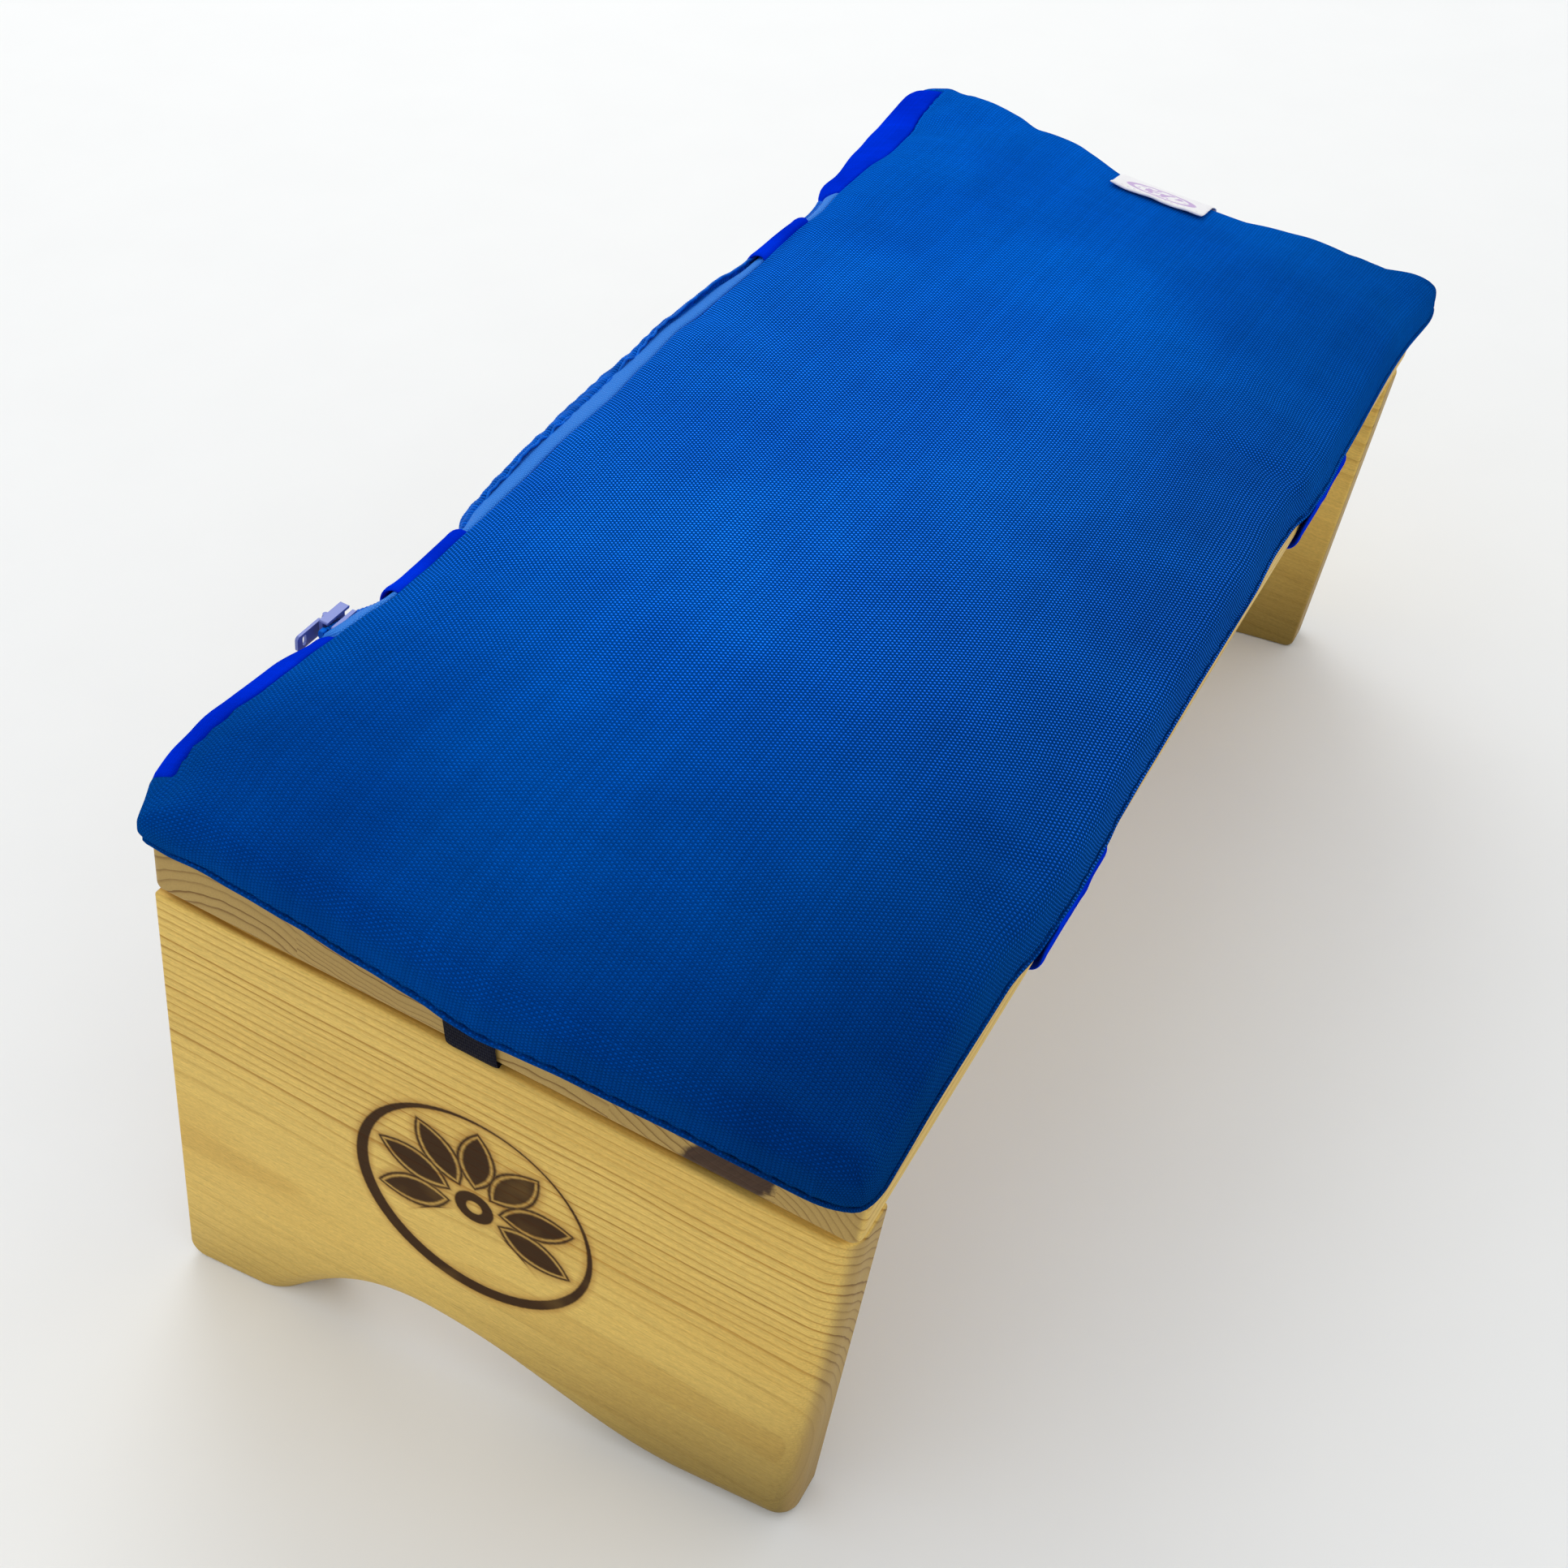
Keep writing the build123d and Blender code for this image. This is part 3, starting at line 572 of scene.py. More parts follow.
def rounded_path(corners, rounds=3):
    """A smooth line through given corners, by cutting each corner off again and again."""
    line = np.array(corners, float)
    for _ in range(rounds):
        cut = [line[0]]
        for start, end in zip(line[:-1], line[1:]):
            cut += [start * 0.75 + end * 0.25, start * 0.25 + end * 0.75]
        line = np.array([*cut, line[-1]])
    return line


def run_along(line):
    """How far along the line each of its points is."""
    return np.concatenate([[0], np.cumsum(np.linalg.norm(np.diff(line, axis=0), axis=1))])


def resampled(line, count):
    """The same line with that many points at even steps, and how far along it each is."""
    lengths = run_along(line)
    places = np.linspace(0, lengths[-1], count)
    return np.column_stack([np.interp(places, lengths, line[:, axis]) for axis in range(3)]), places


def spaced(line, step):
    """The same line with points about a step apart, and how far along it each is."""
    return resampled(line, max(2, round(run_along(line)[-1] / step) + 1))


def sheet_faces(rows, columns):
    """Two grids laid back to back and closed all round."""
    count = rows * columns
    faces = grid_faces(rows, columns) + grid_faces(rows, columns, count, flip=True)
    for j in range(columns - 1):
        last = (rows - 1) * columns
        faces.append((j + 1, count + j + 1, count + j, j))
        faces.append((last + j, count + last + j, count + last + j + 1, last + j + 1))
    for i in range(rows - 1):
        a, b = i * columns, (i + 1) * columns
        faces.append((a, count + a, count + b, b))
        faces.append((b + columns - 1, count + b + columns - 1, count + a + columns - 1, a + columns - 1))
    return faces


def finish_sheet(name, grid, places, offsets, thick, material, stands_for, hem=0.0, wobble=0.0,
                 seed=0.0):
    """A band of cloth on a grid of points: rounded edges, hems that are thicker, and a slight waviness."""
    normal = np.cross(np.gradient(grid, axis=0), np.gradient(grid, axis=1))
    normal /= np.linalg.norm(normal, axis=2)[..., None]
    to_edge = offsets[-1] - np.abs(offsets)
    end_gap = np.minimum(places, places[-1] - places)
    body = np.minimum(1, 0.35 + to_edge / 1.2)[None, :] * np.minimum(1, 0.35 + end_gap / 1.2)[:, None]
    if hem:
        body = body * (1 + 0.8 * (to_edge < hem)[None, :] * np.ones(len(places))[:, None])
        stitch = np.exp(-(((to_edge - hem * 0.8) / 0.7) ** 2))
        body = body * (1 - 0.45 * stitch)[None, :]
    lift = np.zeros(grid.shape[:2])
    if wobble:
        flat_points = grid.reshape(-1, 3)
        waves = rough(flat_points, 17, seed) + 0.5 * rough(flat_points, 8, seed + 3)
        lift = waves.reshape(lift.shape) * wobble
        lift *= smoothstep(end_gap, 0, 12)[:, None]
    half = thick / 2 * body
    outer = grid + (lift + half)[..., None] * normal
    inner = grid + (lift - half)[..., None] * normal
    flat = np.stack(np.broadcast_arrays(places[:, None], offsets[None, :]), axis=-1).reshape(-1, 2)
    points = np.concatenate([outer.reshape(-1, 3), inner.reshape(-1, 3)])
    faces = sheet_faces(*grid.shape[:2])
    subdivided(make_piece(name, points, faces, material, stands_for, np.concatenate([flat, flat])))


def ribbon(name, line, across, width, thick, material, stands_for, hem=0.0, wobble=0.0, columns=13,
           step=2.0, seed=0.0):
    """A straight band that follows a line."""
    line, places = spaced(np.asarray(line, float), step)
    across = np.array(across, float) / np.linalg.norm(across)
    offsets = np.linspace(-width / 2, width / 2, columns)
    grid = line[:, None, :] + offsets[None, :, None] * across
    finish_sheet(name, grid, places, offsets, thick, material, stands_for, hem, wobble, seed)


def tube_points(line, radius, sides=6):
    """Rings of points round a short line, for thread and coil loops."""
    line = np.asarray(line, float)
    tangent = np.gradient(line, axis=0)
    tangent /= np.linalg.norm(tangent, axis=1)[:, None]
    aside = np.cross(tangent, (1.0, 0.013, 0.021) if abs(tangent[0, 0]) < 0.8 else (0.01, 1.0, 0.02))
    aside /= np.linalg.norm(aside, axis=1)[:, None]
    other = np.cross(tangent, aside)
    angles = np.linspace(0, math.tau, sides, endpoint=False)
    taper = np.ones(len(line))
    taper[0] = taper[-1] = 0.55
    turn = angles[None, :, None]
    ring = np.cos(turn) * aside[:, None] + np.sin(turn) * other[:, None]
    return (line[:, None] + ring * (radius * taper)[:, None, None]).reshape(-1, 3)


def tube_faces(length, sides, start):
    faces = [tuple(start + j for j in range(sides))[::-1]]
    for i in range(length - 1):
        for j in range(sides):
            a, b = start + i * sides + j, start + i * sides + (j + 1) % sides
            faces.append((a, b, b + sides, a + sides))
    faces.append(tuple(start + (length - 1) * sides + j for j in range(sides)))
    return faces


def tubes(name, lines, radius, material, stands_for=(), sides=6):
    """Many short tubes in one piece."""
    points, faces, start = [], [], 0
    for line in lines:
        faces += tube_faces(len(line), sides, start)
        points.append(tube_points(line, radius, sides))
        start += len(points[-1])
    make_piece(name, np.concatenate(points), faces, material, stands_for)


def stitches(name, line, normal, material, length, gap, radius):
    """A row of stitches along a line, each a short thread that dips at its ends."""
    line, places = spaced(np.asarray(line, float), 0.25)
    index = np.linspace(0, len(normal) - 1, len(line)).round().astype(int)
    normal = np.asarray(normal)[index]
    lines = []
    start = gap
    while start + length < places[-1]:
        at = [np.argmin(np.abs(places - start - length * share)) for share in (0, 0.25, 0.5, 0.75, 1)]
        arch = np.array([-0.25, 0.12, 0.2, 0.12, -0.25])
        lines.append(line[at] + normal[at] * arch[:, None])
        start += length + gap
    tubes(name, lines, radius, material, sides=5)


# ---------------------------------------------------------------- the cushion's form

cover_low, cover_high = local_box("cover_top", "cover_bottom")
CUSHION_LOW, CUSHION_TOP = cover_low[2], cover_high[2]
THICK = CUSHION_TOP - CUSHION_LOW
TOP_INSET = 5.0                    # from the wall in to the edge of the flat top
CORNER = 9.0                       # corner radius of the flat top
HALF_X = cover_high[0] - TOP_INSET
FRONT_Y = cover_low[1] + TOP_INSET
BACK_Y = cover_high[1] - TOP_INSET
BAND_NEAR, BAND_FAR = -227.0, 239.0   # the back band's ends
tape_low, tape_high = local_box("zip_tape_upper", "zip_tape_lower")
ZIP_START, ZIP_END = tape_low[0], tape_high[0]
ZIP_MIDDLE = (tape_low[2] + tape_high[2]) / 2

# How far each edge strays from a straight line, as (place along the edge, shift outward)
TOP_BACK = (
    (-245, -1.5), (-231, -0.5), (-215, 2.5), (-200, 2.0), (-187, 0), (-175, -1.2), (-160, -2.4),
    (-150, -3.2), (-140, -4.6), (-100, -4.5), (-75, -3.8), (-48, -2.3), (-22, -2.3), (2, -0.7), (28, 0.9),
    (40, 0), (77, -0.2), (108, 1.0), (128, -0.2), (143, 0.9), (165, 0.5), (182, -1.4), (200, -0.6),
    (218, 2.2), (245, 2.5),
)
MID_BACK = (
    (-245, -1), (-230, -1.8), (-213, 0.8), (-202, 1.9), (-193, 0.4), (-181, -1.1), (-170, -1.2), (-158, 0),
    (-147, -0.3), (-139, -4.8), (-128, -6.4), (-105, -6.4), (-88, -3.2), (-69, -2.8), (-50, -1.5),
    (-28, -0.5), (-6, 0.3), (30, 0.4), (55, -1.2), (68, -1.8), (79, -2.4), (90, -1.8), (117, -1.5),
    (132, 1.0), (141, 1.8), (150, 4.2), (161, 2.6), (188, 6.0), (205, 7.6), (223, 8.6), (245, 10.0),
)
# How far the back wall rolls up and over, so that the zip faces up, by place along the back
ROLL = (
    (-245, 1), (-178, 1), (-160, 0.3), (-152, 0), (-143, 0), (-125, 0.25), (-103, 0.35), (-85, 0.75),
    (-68, 1), (60, 1), (80, 0.7), (100, 0.5), (122, 0.35), (132, 0.05), (143, 0.1), (156, 1), (245, 1),
)
FRONT_EDGE = (
    (-245, -1.6), (-225, -2.4), (-205, -2.7), (-160, -2.4), (-142, -0.4), (-122, 0.2), (-98, -0.2),
    (-88, -1.0), (-65, -1.3), (-20, -1.6), (30, -1.6), (56, -2.6), (72, -2.2), (84, -0.2), (104, 0.4),
    (122, -0.4), (190, -1.7), (245, -0.5),
)
NEAR_EDGE = (
    (-110, -2.5), (-88, -1.2), (-60, -1.0), (-25, -0.4), (-12, 0.3), (-2, 1.1), (6, 0.4), (16, -1.2),
    (34, -2.5), (54, -4.2), (72, -5.2), (84, -6.0), (96, -5.2), (105, -2.4), (112, -1.5),
)
FAR_EDGE = (
    (-110, -0.9), (-92, 1.2), (-84, 1.0), (-70, -1.5), (-60, -2.5), (-44, -4.5), (-28, -6.8), (-16, -6.5),
    (-10, -7.0), (6, -7.5), (18, -7.0), (25, -5.5), (33, -4.0), (46, -0.8), (58, -0.2), (70, 3.4), (80, 3.4),
    (88, 2.4), (97, 1.2), (108, 2.5),
)
# The wall's section, as outset from the flat top's edge and height over the cushion's underside, from the top
# edge down: plain; at the back, upright or rolled up with the zip; and where the back band tapers to its ends
WALL = (
    (1.9, 17.7), (3.5, 16.7), (4.6, 15.0), (5.1, 12.6), (5.4, 9.6), (5.3, 6.4), (4.5, 3.6), (5.0, 2.0),
    (4.2, 0.6), (2.0, 0.0),
)
UPRIGHT_WALL = (
    (1.0, 17.2), (2.6, 16.2), (3.9, 14.6), (4.7, 12.3), (5.0, 9.0), (4.9, 6.4), (4.4, 3.6), (4.9, 2.0),
    (4.2, 0.6), (2.0, 0.0),
)
ROLLED_WALL = (
    (1.0, 17.3), (3.2, 16.9), (5.3, 16.1), (7.3, 14.8), (9.0, 12.9), (10.2, 10.2), (10.2, 6.8), (8.8, 3.4),
    (6.0, 0.9), (2.0, 0.0),
)
TAPERED_WALL = (
    (2.2, 17.1), (9.3, 13.2), (9.8, 12.1), (10.1, 11.0), (10.2, 9.8), (10.2, 8.6), (10.0, 6.2), (8.8, 3.4),
    (6.0, 0.9), (2.0, 0.0),
)
TOP_SEAM_ROW, ZIP_ROW, LOW_SEAM_ROW = 1, 5, 7
GRID_STEP = 4.0
# 0 is a round corner and 1 a square one, by (far end, back)
CORNER_SQUARENESS = {(False, False): 0.55, (True, False): 0.85, (False, True): 0.6, (True, True): 0.75}


def grid_places(half_low, half_high, corner):
    """Places along one side of the flat top, closer in the corners, as (inner place, corner share)."""
    steps = round((half_high - half_low - 2 * (corner - CORNER)) / GRID_STEP)
    inner = np.linspace(half_low + corner, half_high - corner, steps)
    share = np.array([1, 2 / 3, 1 / 3])
    before = [(half_low + corner, -s) for s in share]
    after = [(half_high - corner, s) for s in share[::-1]]
    return before + [(place, 0.0) for place in inner] + after


def flat_sheet(grow):
    """A rounded rectangle filled with a grid, drawn out by grow all round: points, shape of grid."""
    corner = CORNER + grow
    columns = grid_places(-HALF_X - grow, HALF_X + grow, corner)
    rows = grid_places(FRONT_Y - grow, BACK_Y + grow, corner)
    sheet = np.empty((len(columns), len(rows), 2))
    for i, (x, p) in enumerate(columns):
        for j, (y, q) in enumerate(rows):
            square = CORNER_SQUARENESS[(p > 0, q > 0)]
            sheet[i, j] = (
                x + corner * p * (square + (1 - square) * math.sqrt(1 - q * q / 2)),
                y + corner * q * (square + (1 - square) * math.sqrt(1 - p * p / 2)),
            )
    return sheet


def rim_indices(shape):
    """The grid's outer vertices in order, anticlockwise seen from above."""
    n, m = shape
    rim = [(i, 0) for i in range(n)] + [(n - 1, j) for j in range(1, m)]
    rim += [(i, m - 1) for i in range(n - 2, -1, -1)] + [(0, j) for j in range(m - 2, 0, -1)]
    return rim


def stray(points):
    """The uneven outline: how far each point of the cushion shifts, by where it is."""
    x, y, z = points.T
    height = (z - CUSHION_LOW) / THICK
    to_back = smoothstep(y, 30, BACK_Y)
    top_share = smoothstep(height, 0.62, 0.95)
    move_y = to_back * (eased(x, TOP_BACK) * top_share + eased(x, MID_BACK) * (1 - top_share))
    move_y -= smoothstep(-y, 30, -FRONT_Y) * eased(x, FRONT_EDGE)
    move_x = smoothstep(x, 150, HALF_X) * eased(y, FAR_EDGE)
    move_x -= smoothstep(-x, 170, HALF_X) * eased(y, NEAR_EDGE)
    corner = smoothstep(x, 205, 242)
    back_corner = corner * smoothstep(y, 60, 100)
    far_back = smoothstep(x, 120, 180)
    front_corner = corner * smoothstep(-y, 84, 102)
    move_x += back_corner * 4.0 + front_corner * 2.5
    move_y += back_corner * 1.0 - front_corner * 1.5
    ends = np.maximum(6.0 * smoothstep(-x, 170, 241), 3.0 * smoothstep(x, 185, 238))
    sides = np.maximum(3.0 * smoothstep(-y, 50, 99), 1.5 * smoothstep(y, 70, 103))
    ends = ends * (1 - far_back * smoothstep(y, 18, 40))
    sides = sides * (1 - far_back * smoothstep(y, 20, 60))
    thinner = np.minimum(7.5, ends + sides)
    sag = 0.4 * smoothstep(np.abs(x), 236.5, 244) + 1.0 * smoothstep(-y, 100, 106)
    return np.column_stack([move_x, move_y, (back_corner * 1.5 - thinner) * height - sag])


def cushion_form():
    """The closed form: points, faces, each face's panel, places on the flat cloth, the wall's rings of
    vertices, the first vertex of the base, and how far each vertex of a ring is in the back band."""
    top, base = flat_sheet(0), flat_sheet(2)
    n, m = top.shape[:2]
    rim = rim_indices((n, m))
    rim_points = np.array([top[i, j] for i, j in rim])
    core = np.column_stack([
        np.clip(rim_points[:, 0], -HALF_X + CORNER, HALF_X - CORNER),
        np.clip(rim_points[:, 1], FRONT_Y + CORNER, BACK_Y - CORNER),
    ])
    outward = rim_points - core
    outward /= np.linalg.norm(outward, axis=1)[:, None]
    is_back = smoothstep(outward[:, 1], 0.5, 0.98)
    rim_x = rim_points[:, 0]
    is_back *= smoothstep(rim_x, BAND_NEAR - 8, BAND_NEAR) * smoothstep(-rim_x, -BAND_FAR - 8, -BAND_FAR)
    plain, upright, rolled, tapered = (
        np.array(section)[:, None, :] for section in (WALL, UPRIGHT_WALL, ROLLED_WALL, TAPERED_WALL)
    )
    roll = eased(rim_x, ROLL)[None, :, None]
    back_wall = upright * (1 - roll) + rolled * roll
    taper = np.maximum(smoothstep(-rim_x, 180, 222), 0.6 * smoothstep(rim_x, 214, 240))
    back_wall = back_wall + (tapered - back_wall) * taper[None, :, None]
    wall = plain * (1 - is_back)[None, :, None] + back_wall * is_back[None, :, None]

    points = [np.column_stack([top.reshape(-1, 2), np.full(n * m, CUSHION_TOP)])]
    flat = [top.reshape(-1, 2)]
    run = np.zeros(len(rim))
    last = np.column_stack([np.zeros(len(rim)), np.full(len(rim), THICK)])
    for row in wall[:-1]:
        place = rim_points + outward * row[:, :1]
        points.append(np.column_stack([place, CUSHION_LOW + row[:, 1]]))
        run = run + np.linalg.norm(row - last, axis=1)
        flat.append(rim_points + outward * run[:, None])
        last = row
    points.append(np.column_stack([base.reshape(-1, 2), np.full(n * m, CUSHION_LOW)]))
    flat.append(base.reshape(-1, 2))

    faces, panels = grid_faces(n, m), ["top"] * ((n - 1) * (m - 1))
    count = len(rim)
    rings = [np.array([i * m + j for i, j in rim])]
    rings += [n * m + count * k + np.arange(count) for k in range(len(WALL) - 1)]
    base_start = n * m + count * (len(WALL) - 1)
    rings.append(np.array([base_start + i * m + j for i, j in rim]))
    for k in range(len(rings) - 1):
        for a in range(count):
            b = (a + 1) % count
            faces.append((rings[k][a], rings[k + 1][a], rings[k + 1][b], rings[k][b]))
            centre = (rim_points[a] + rim_points[b]) / 2
            banded = min(is_back[a], is_back[b]) > 0.5 and BAND_NEAR < centre[0] < BAND_FAR
            if k >= LOW_SEAM_ROW:
                panels.append("bottom")
            elif k < TOP_SEAM_ROW or not banded:
                panels.append("top")
            elif ZIP_START < centre[0] < ZIP_END:
                panels.append("tape_upper" if k < ZIP_ROW else "tape_lower")
            else:
                panels.append("band_near" if centre[0] < 0 else "band_far")
    faces += grid_faces(n, m, base_start, flip=True)
    panels += ["bottom"] * ((n - 1) * (m - 1))
    return np.concatenate(points), faces, panels, np.concatenate(flat), rings, base_start, is_back


# Soft valleys pressed into the top: start, end, half width, depth
CREASES = (
    ((-222, -70), (-236, -42), 7, 1.3), ((-205, -96), (-182, -84), 6, 0.9), ((84, -104), (70, -62), 5, 1.2),
    ((120, -103), (132, -72), 6, 0.8), ((-128, -103), (-140, -70), 6, 0.8), ((205, 92), (238, 66), 7, 1.8),
    ((228, 96), (214, 70), 6, 1.0), ((226, -22), (200, -34), 7, 1.0), ((228, 28), (196, 40), 8, 1.0),
    ((-122, 95), (-112, 52), 7, 1.1), ((-140, 97), (-158, 66), 7, 0.8), ((-236, 60), (-214, 88), 7, 0.9),
    ((104, 98), (98, 66), 8, 0.8), ((232, -82), (206, -96), 6, 1.1), ((40, 100), (34, 72), 9, 0.6),
    ((-60, 99), (-48, 70), 8, 0.6), ((-232, 12), (-206, 8), 7, 0.6), ((-10, -102), (-2, -78), 8, 0.5),
)


def creased(points):
    """How deep the valleys are at each point."""
    depth = np.zeros(len(points))
    for start, end, width, deep in CREASES:
        start, end = np.array(start, float), np.array(end, float)
        along = end - start
        share = np.clip((points[:, :2] - start) @ along / (along @ along), 0, 1)
        gap = np.linalg.norm(points[:, :2] - start - share[:, None] * along, axis=1)
        depth += deep * (1 - 0.6 * share) * np.exp(-((gap / width) ** 2))
    return depth


CLOTH_FRAMES = 20
CLOTH_UNIT = 0.01                  # the simulation's units in a millimetre
STIFFNESS = 18.0
SWELL_CAP = 3.0                    # the furthest a point may move in the simulation


def simulate(points, faces, held):
    """Blender's cloth, blown up gently with its seams held, and each point's movement kept under the cap."""
    mesh = new_mesh("cloth_work", points * CLOTH_UNIT, faces)
    work = linked("cloth_work", mesh)
    group = work.vertex_groups.new(name="held")
    for index, weight in enumerate(held):
        if weight > 0:
            group.add([index], float(weight), "REPLACE")
    cloth = work.modifiers.new("cloth", "CLOTH")
    settings = cloth.settings
    settings.quality = 6
    settings.mass = 0.3
    settings.tension_stiffness = settings.compression_stiffness = STIFFNESS
    settings.shear_stiffness = STIFFNESS / 3
    settings.bending_stiffness = 0.6
    settings.use_pressure = True
    settings.uniform_pressure_force = 4
    settings.effector_weights.gravity = 0
    settings.vertex_group_mass = "held"
    settings.pin_stiffness = 1.0
    settings.shrink_min = -0.012
    cloth.collision_settings.use_collision = False
    scene = bpy.context.scene
    scene.frame_start, scene.frame_end = 1, CLOTH_FRAMES
    cloth.point_cache.frame_start, cloth.point_cache.frame_end = 1, CLOTH_FRAMES
    for step in range(1, CLOTH_FRAMES + 1):
        scene.frame_set(step)
    solved = work.evaluated_get(bpy.context.evaluated_depsgraph_get()).to_mesh()
    moved = np.array([v.co for v in solved.vertices]) * 100 - points     # back to millimetres
    work.evaluated_get(bpy.context.evaluated_depsgraph_get()).to_mesh_clear()
    bpy.data.objects.remove(work)
    bpy.data.meshes.remove(mesh)
    scene.frame_set(1)
    size = np.linalg.norm(moved, axis=1)[:, None] + 1e-9
    return points + moved / size * SWELL_CAP * np.tanh(size / SWELL_CAP)


points, faces, panels, flat, rings, base_start, is_back = cushion_form()
top_count = rings[1][0]
top_points = np.arange(len(points)) < top_count
points = points + stray(points)
crown = np.clip(1 - (points[:, 0] / 252) ** 4, 0, 1) * np.clip(1 - ((points[:, 1] - 1) / 112) ** 4, 0, 1)
points[top_points, 2] += crown[top_points] * 2.0 - 0.6
held = np.zeros(len(points))
held[base_start:] = 1
for k in range(1, len(rings) - 1):
    held[rings[k]] = np.maximum(is_back, 1.0 if k >= LOW_SEAM_ROW else 0.0)
held[rings[0]] = is_back
points = simulate(points, faces, held)
points[:top_count, 2] -= creased(points[:top_count])
points[:top_count, 2] += rough(points[:top_count], 46, 5.1) * 0.8


def smooth_form(points, faces, flat):
    """The closed form subdivided once, with each new face's parent and its places on the flat cloth."""
    mesh = new_mesh("cushion_work", points, faces, flat)
    parent = mesh.attributes.new("parent", "INT", "FACE")
    parent.data.foreach_set("value", np.arange(len(faces), dtype=np.int32))
    work = linked("cushion_work", mesh)
    subdivided(work).uv_smooth = "NONE"
    solved = work.evaluated_get(bpy.context.evaluated_depsgraph_get())
    fine = solved.to_mesh()
    new_points = np.array([v.co for v in fine.vertices])
    new_faces = np.array([tuple(p.vertices) for p in fine.polygons])
    new_parent = np.empty(len(fine.polygons), np.int32)
    fine.attributes["parent"].data.foreach_get("value", new_parent)
    spots = np.empty(len(fine.loops) * 2)
    fine.uv_layers["cloth"].data.foreach_get("uv", spots)
    solved.to_mesh_clear()
    bpy.data.objects.remove(work)
    bpy.data.meshes.remove(mesh)
    return new_points, new_faces, new_parent, spots.reshape(-1, 4, 2)


def back_row(row):
    """One ring's points along the back wall, from the near end to the far end."""
    along_back = points[rings[row][is_back > 0.9]]
    return along_back[np.argsort(along_back[:, 0])]


zip_row, seam_row = back_row(ZIP_ROW), back_row(TOP_SEAM_ROW)
points, faces, parent, spots = smooth_form(points, faces, flat)
panel_names = sorted(set(panels))
panel_of = np.array([panel_names.index(panel) for panel in panels])[parent]


def press_seams(points, faces, panel_of):
    """Draws the cloth in along each seam, a little unevenly, as stitches do."""
    edge_panels = {}
    for face, panel in zip(faces, panel_of):
        for a, b in zip(face, np.roll(face, -1)):
            edge_panels.setdefault((min(a, b), max(a, b)), set()).add(panel)
    seam = sorted({v for edge, found in edge_panels.items() if len(found) > 1 for v in edge})
    mesh = new_mesh("normals_work", points, faces)
    normals = np.array([mesh.vertices[v].normal for v in seam])
    bpy.data.meshes.remove(mesh)
    place = points[seam]
    depth = 0.85 + 0.35 * np.sin(place[:, 0] * 0.9 + place[:, 1] * 1.1) + 0.3 * rough(place, 6, 9.0)
    tape = np.abs(place[:, 2] - ZIP_MIDDLE) < 1.5
    depth[tape & (place[:, 1] > BACK_Y - 12)] = 0.2
    points = points.copy()
    points[seam] -= normals * depth[:, None]
    return points


points = press_seams(points, faces, panel_of)
surface = BVHTree.FromPolygons([Vector(p) for p in points], [tuple(int(i) for i in f) for f in faces])

PANEL_PIECES = {
    "top": ("cushion_cover_top", COVER, "cover_cloth", ("cover_top", "foam_pad")),
    "bottom": ("cushion_cover_bottom", COVER, "cover_cloth", ("cover_bottom",)),
    "band_near": ("cushion_band_near", LINING, "lining_cloth", ("cover_back_near",)),
    "band_far": ("cushion_band_far", LINING, "lining_cloth", ("cover_back_far",)),
    "tape_upper": ("zip_tape_upper_cloth", ZIP_TAPE, "zip_tape", ("zip_tape_upper",)),
    "tape_lower": ("zip_tape_lower_cloth", ZIP_TAPE, "zip_tape", ("zip_tape_lower",)),
}


def make_panel(panel):
    """One panel of the cover, cut out of the closed form and given the cloth's thickness."""
    name, material, slot, stands_for = PANEL_PIECES[panel]
    chosen = panel_of == panel_names.index(panel)
    own, own_spots = faces[chosen], spots[chosen]
    used, renumbered = np.unique(own, return_inverse=True)
    flat_of = np.zeros((len(used), 2))
    flat_of[renumbered.ravel()] = own_spots.reshape(-1, 2)
    piece = make_piece(name, points[used], renumbered.reshape(own.shape), material, stands_for, flat_of)
    cloth = piece.modifiers.new("cloth", "SOLIDIFY")
    cloth.thickness, cloth.offset = 0.0006, -1
    return piece


panel_pieces = {panel: make_panel(panel) for panel in PANEL_PIECES}


# ---------------------------------------------------------------- the zip

COIL_PITCH = 1.15
COIL_WIRE = 0.46


def zip_frames():
    """Where the chain lies at even steps: its middle on the cloth and the way out of it, both smoothed."""
    spots, ways = [], []
    beside, above = (np.interp(zip_steps, zip_row[:, 0], zip_row[:, axis]) for axis in (1, 2))
    for x, y, z in zip(zip_steps, beside, above):
        spot, normal, _, _ = surface.find_nearest(Vector((x, y, z)))
        spots.append((spot.y, spot.z))
        ways.append((normal.y, normal.z))
    blend = np.hanning(11) / np.hanning(11).sum()
    spots, ways = (
        np.column_stack([
            np.convolve(np.pad(column, 5, "edge"), blend, "valid") for column in np.array(rows).T
        ])
        for rows in (spots, ways)
    )
    return spots, ways


zip_steps = np.arange(ZIP_START, ZIP_END + 1, 1.0)
zip_spots, zip_ways = zip_frames()


def zip_frame(x):
    """The chain's middle at x, the way out of the cloth, and the way up along it."""
    y, z = (np.interp(x, zip_steps, column) for column in zip_spots.T)
    out = Vector((0, *(np.interp(x, zip_steps, column) for column in zip_ways.T))).normalized()
    return Vector((x, y, z)), out, LENGTH.cross(out)


# One loop of the coil: its shift along the chain, its height over the cloth, and its reach across
COIL_LOOP = (
    (-0.16, -0.15, 3.0), (-0.12, 0.85, 2.7), (-0.02, 1.3, 1.9), (0.12, 1.4, 0.9), (0.20, 1.2, -0.1),
    (0.22, 0.6, -0.55),
)


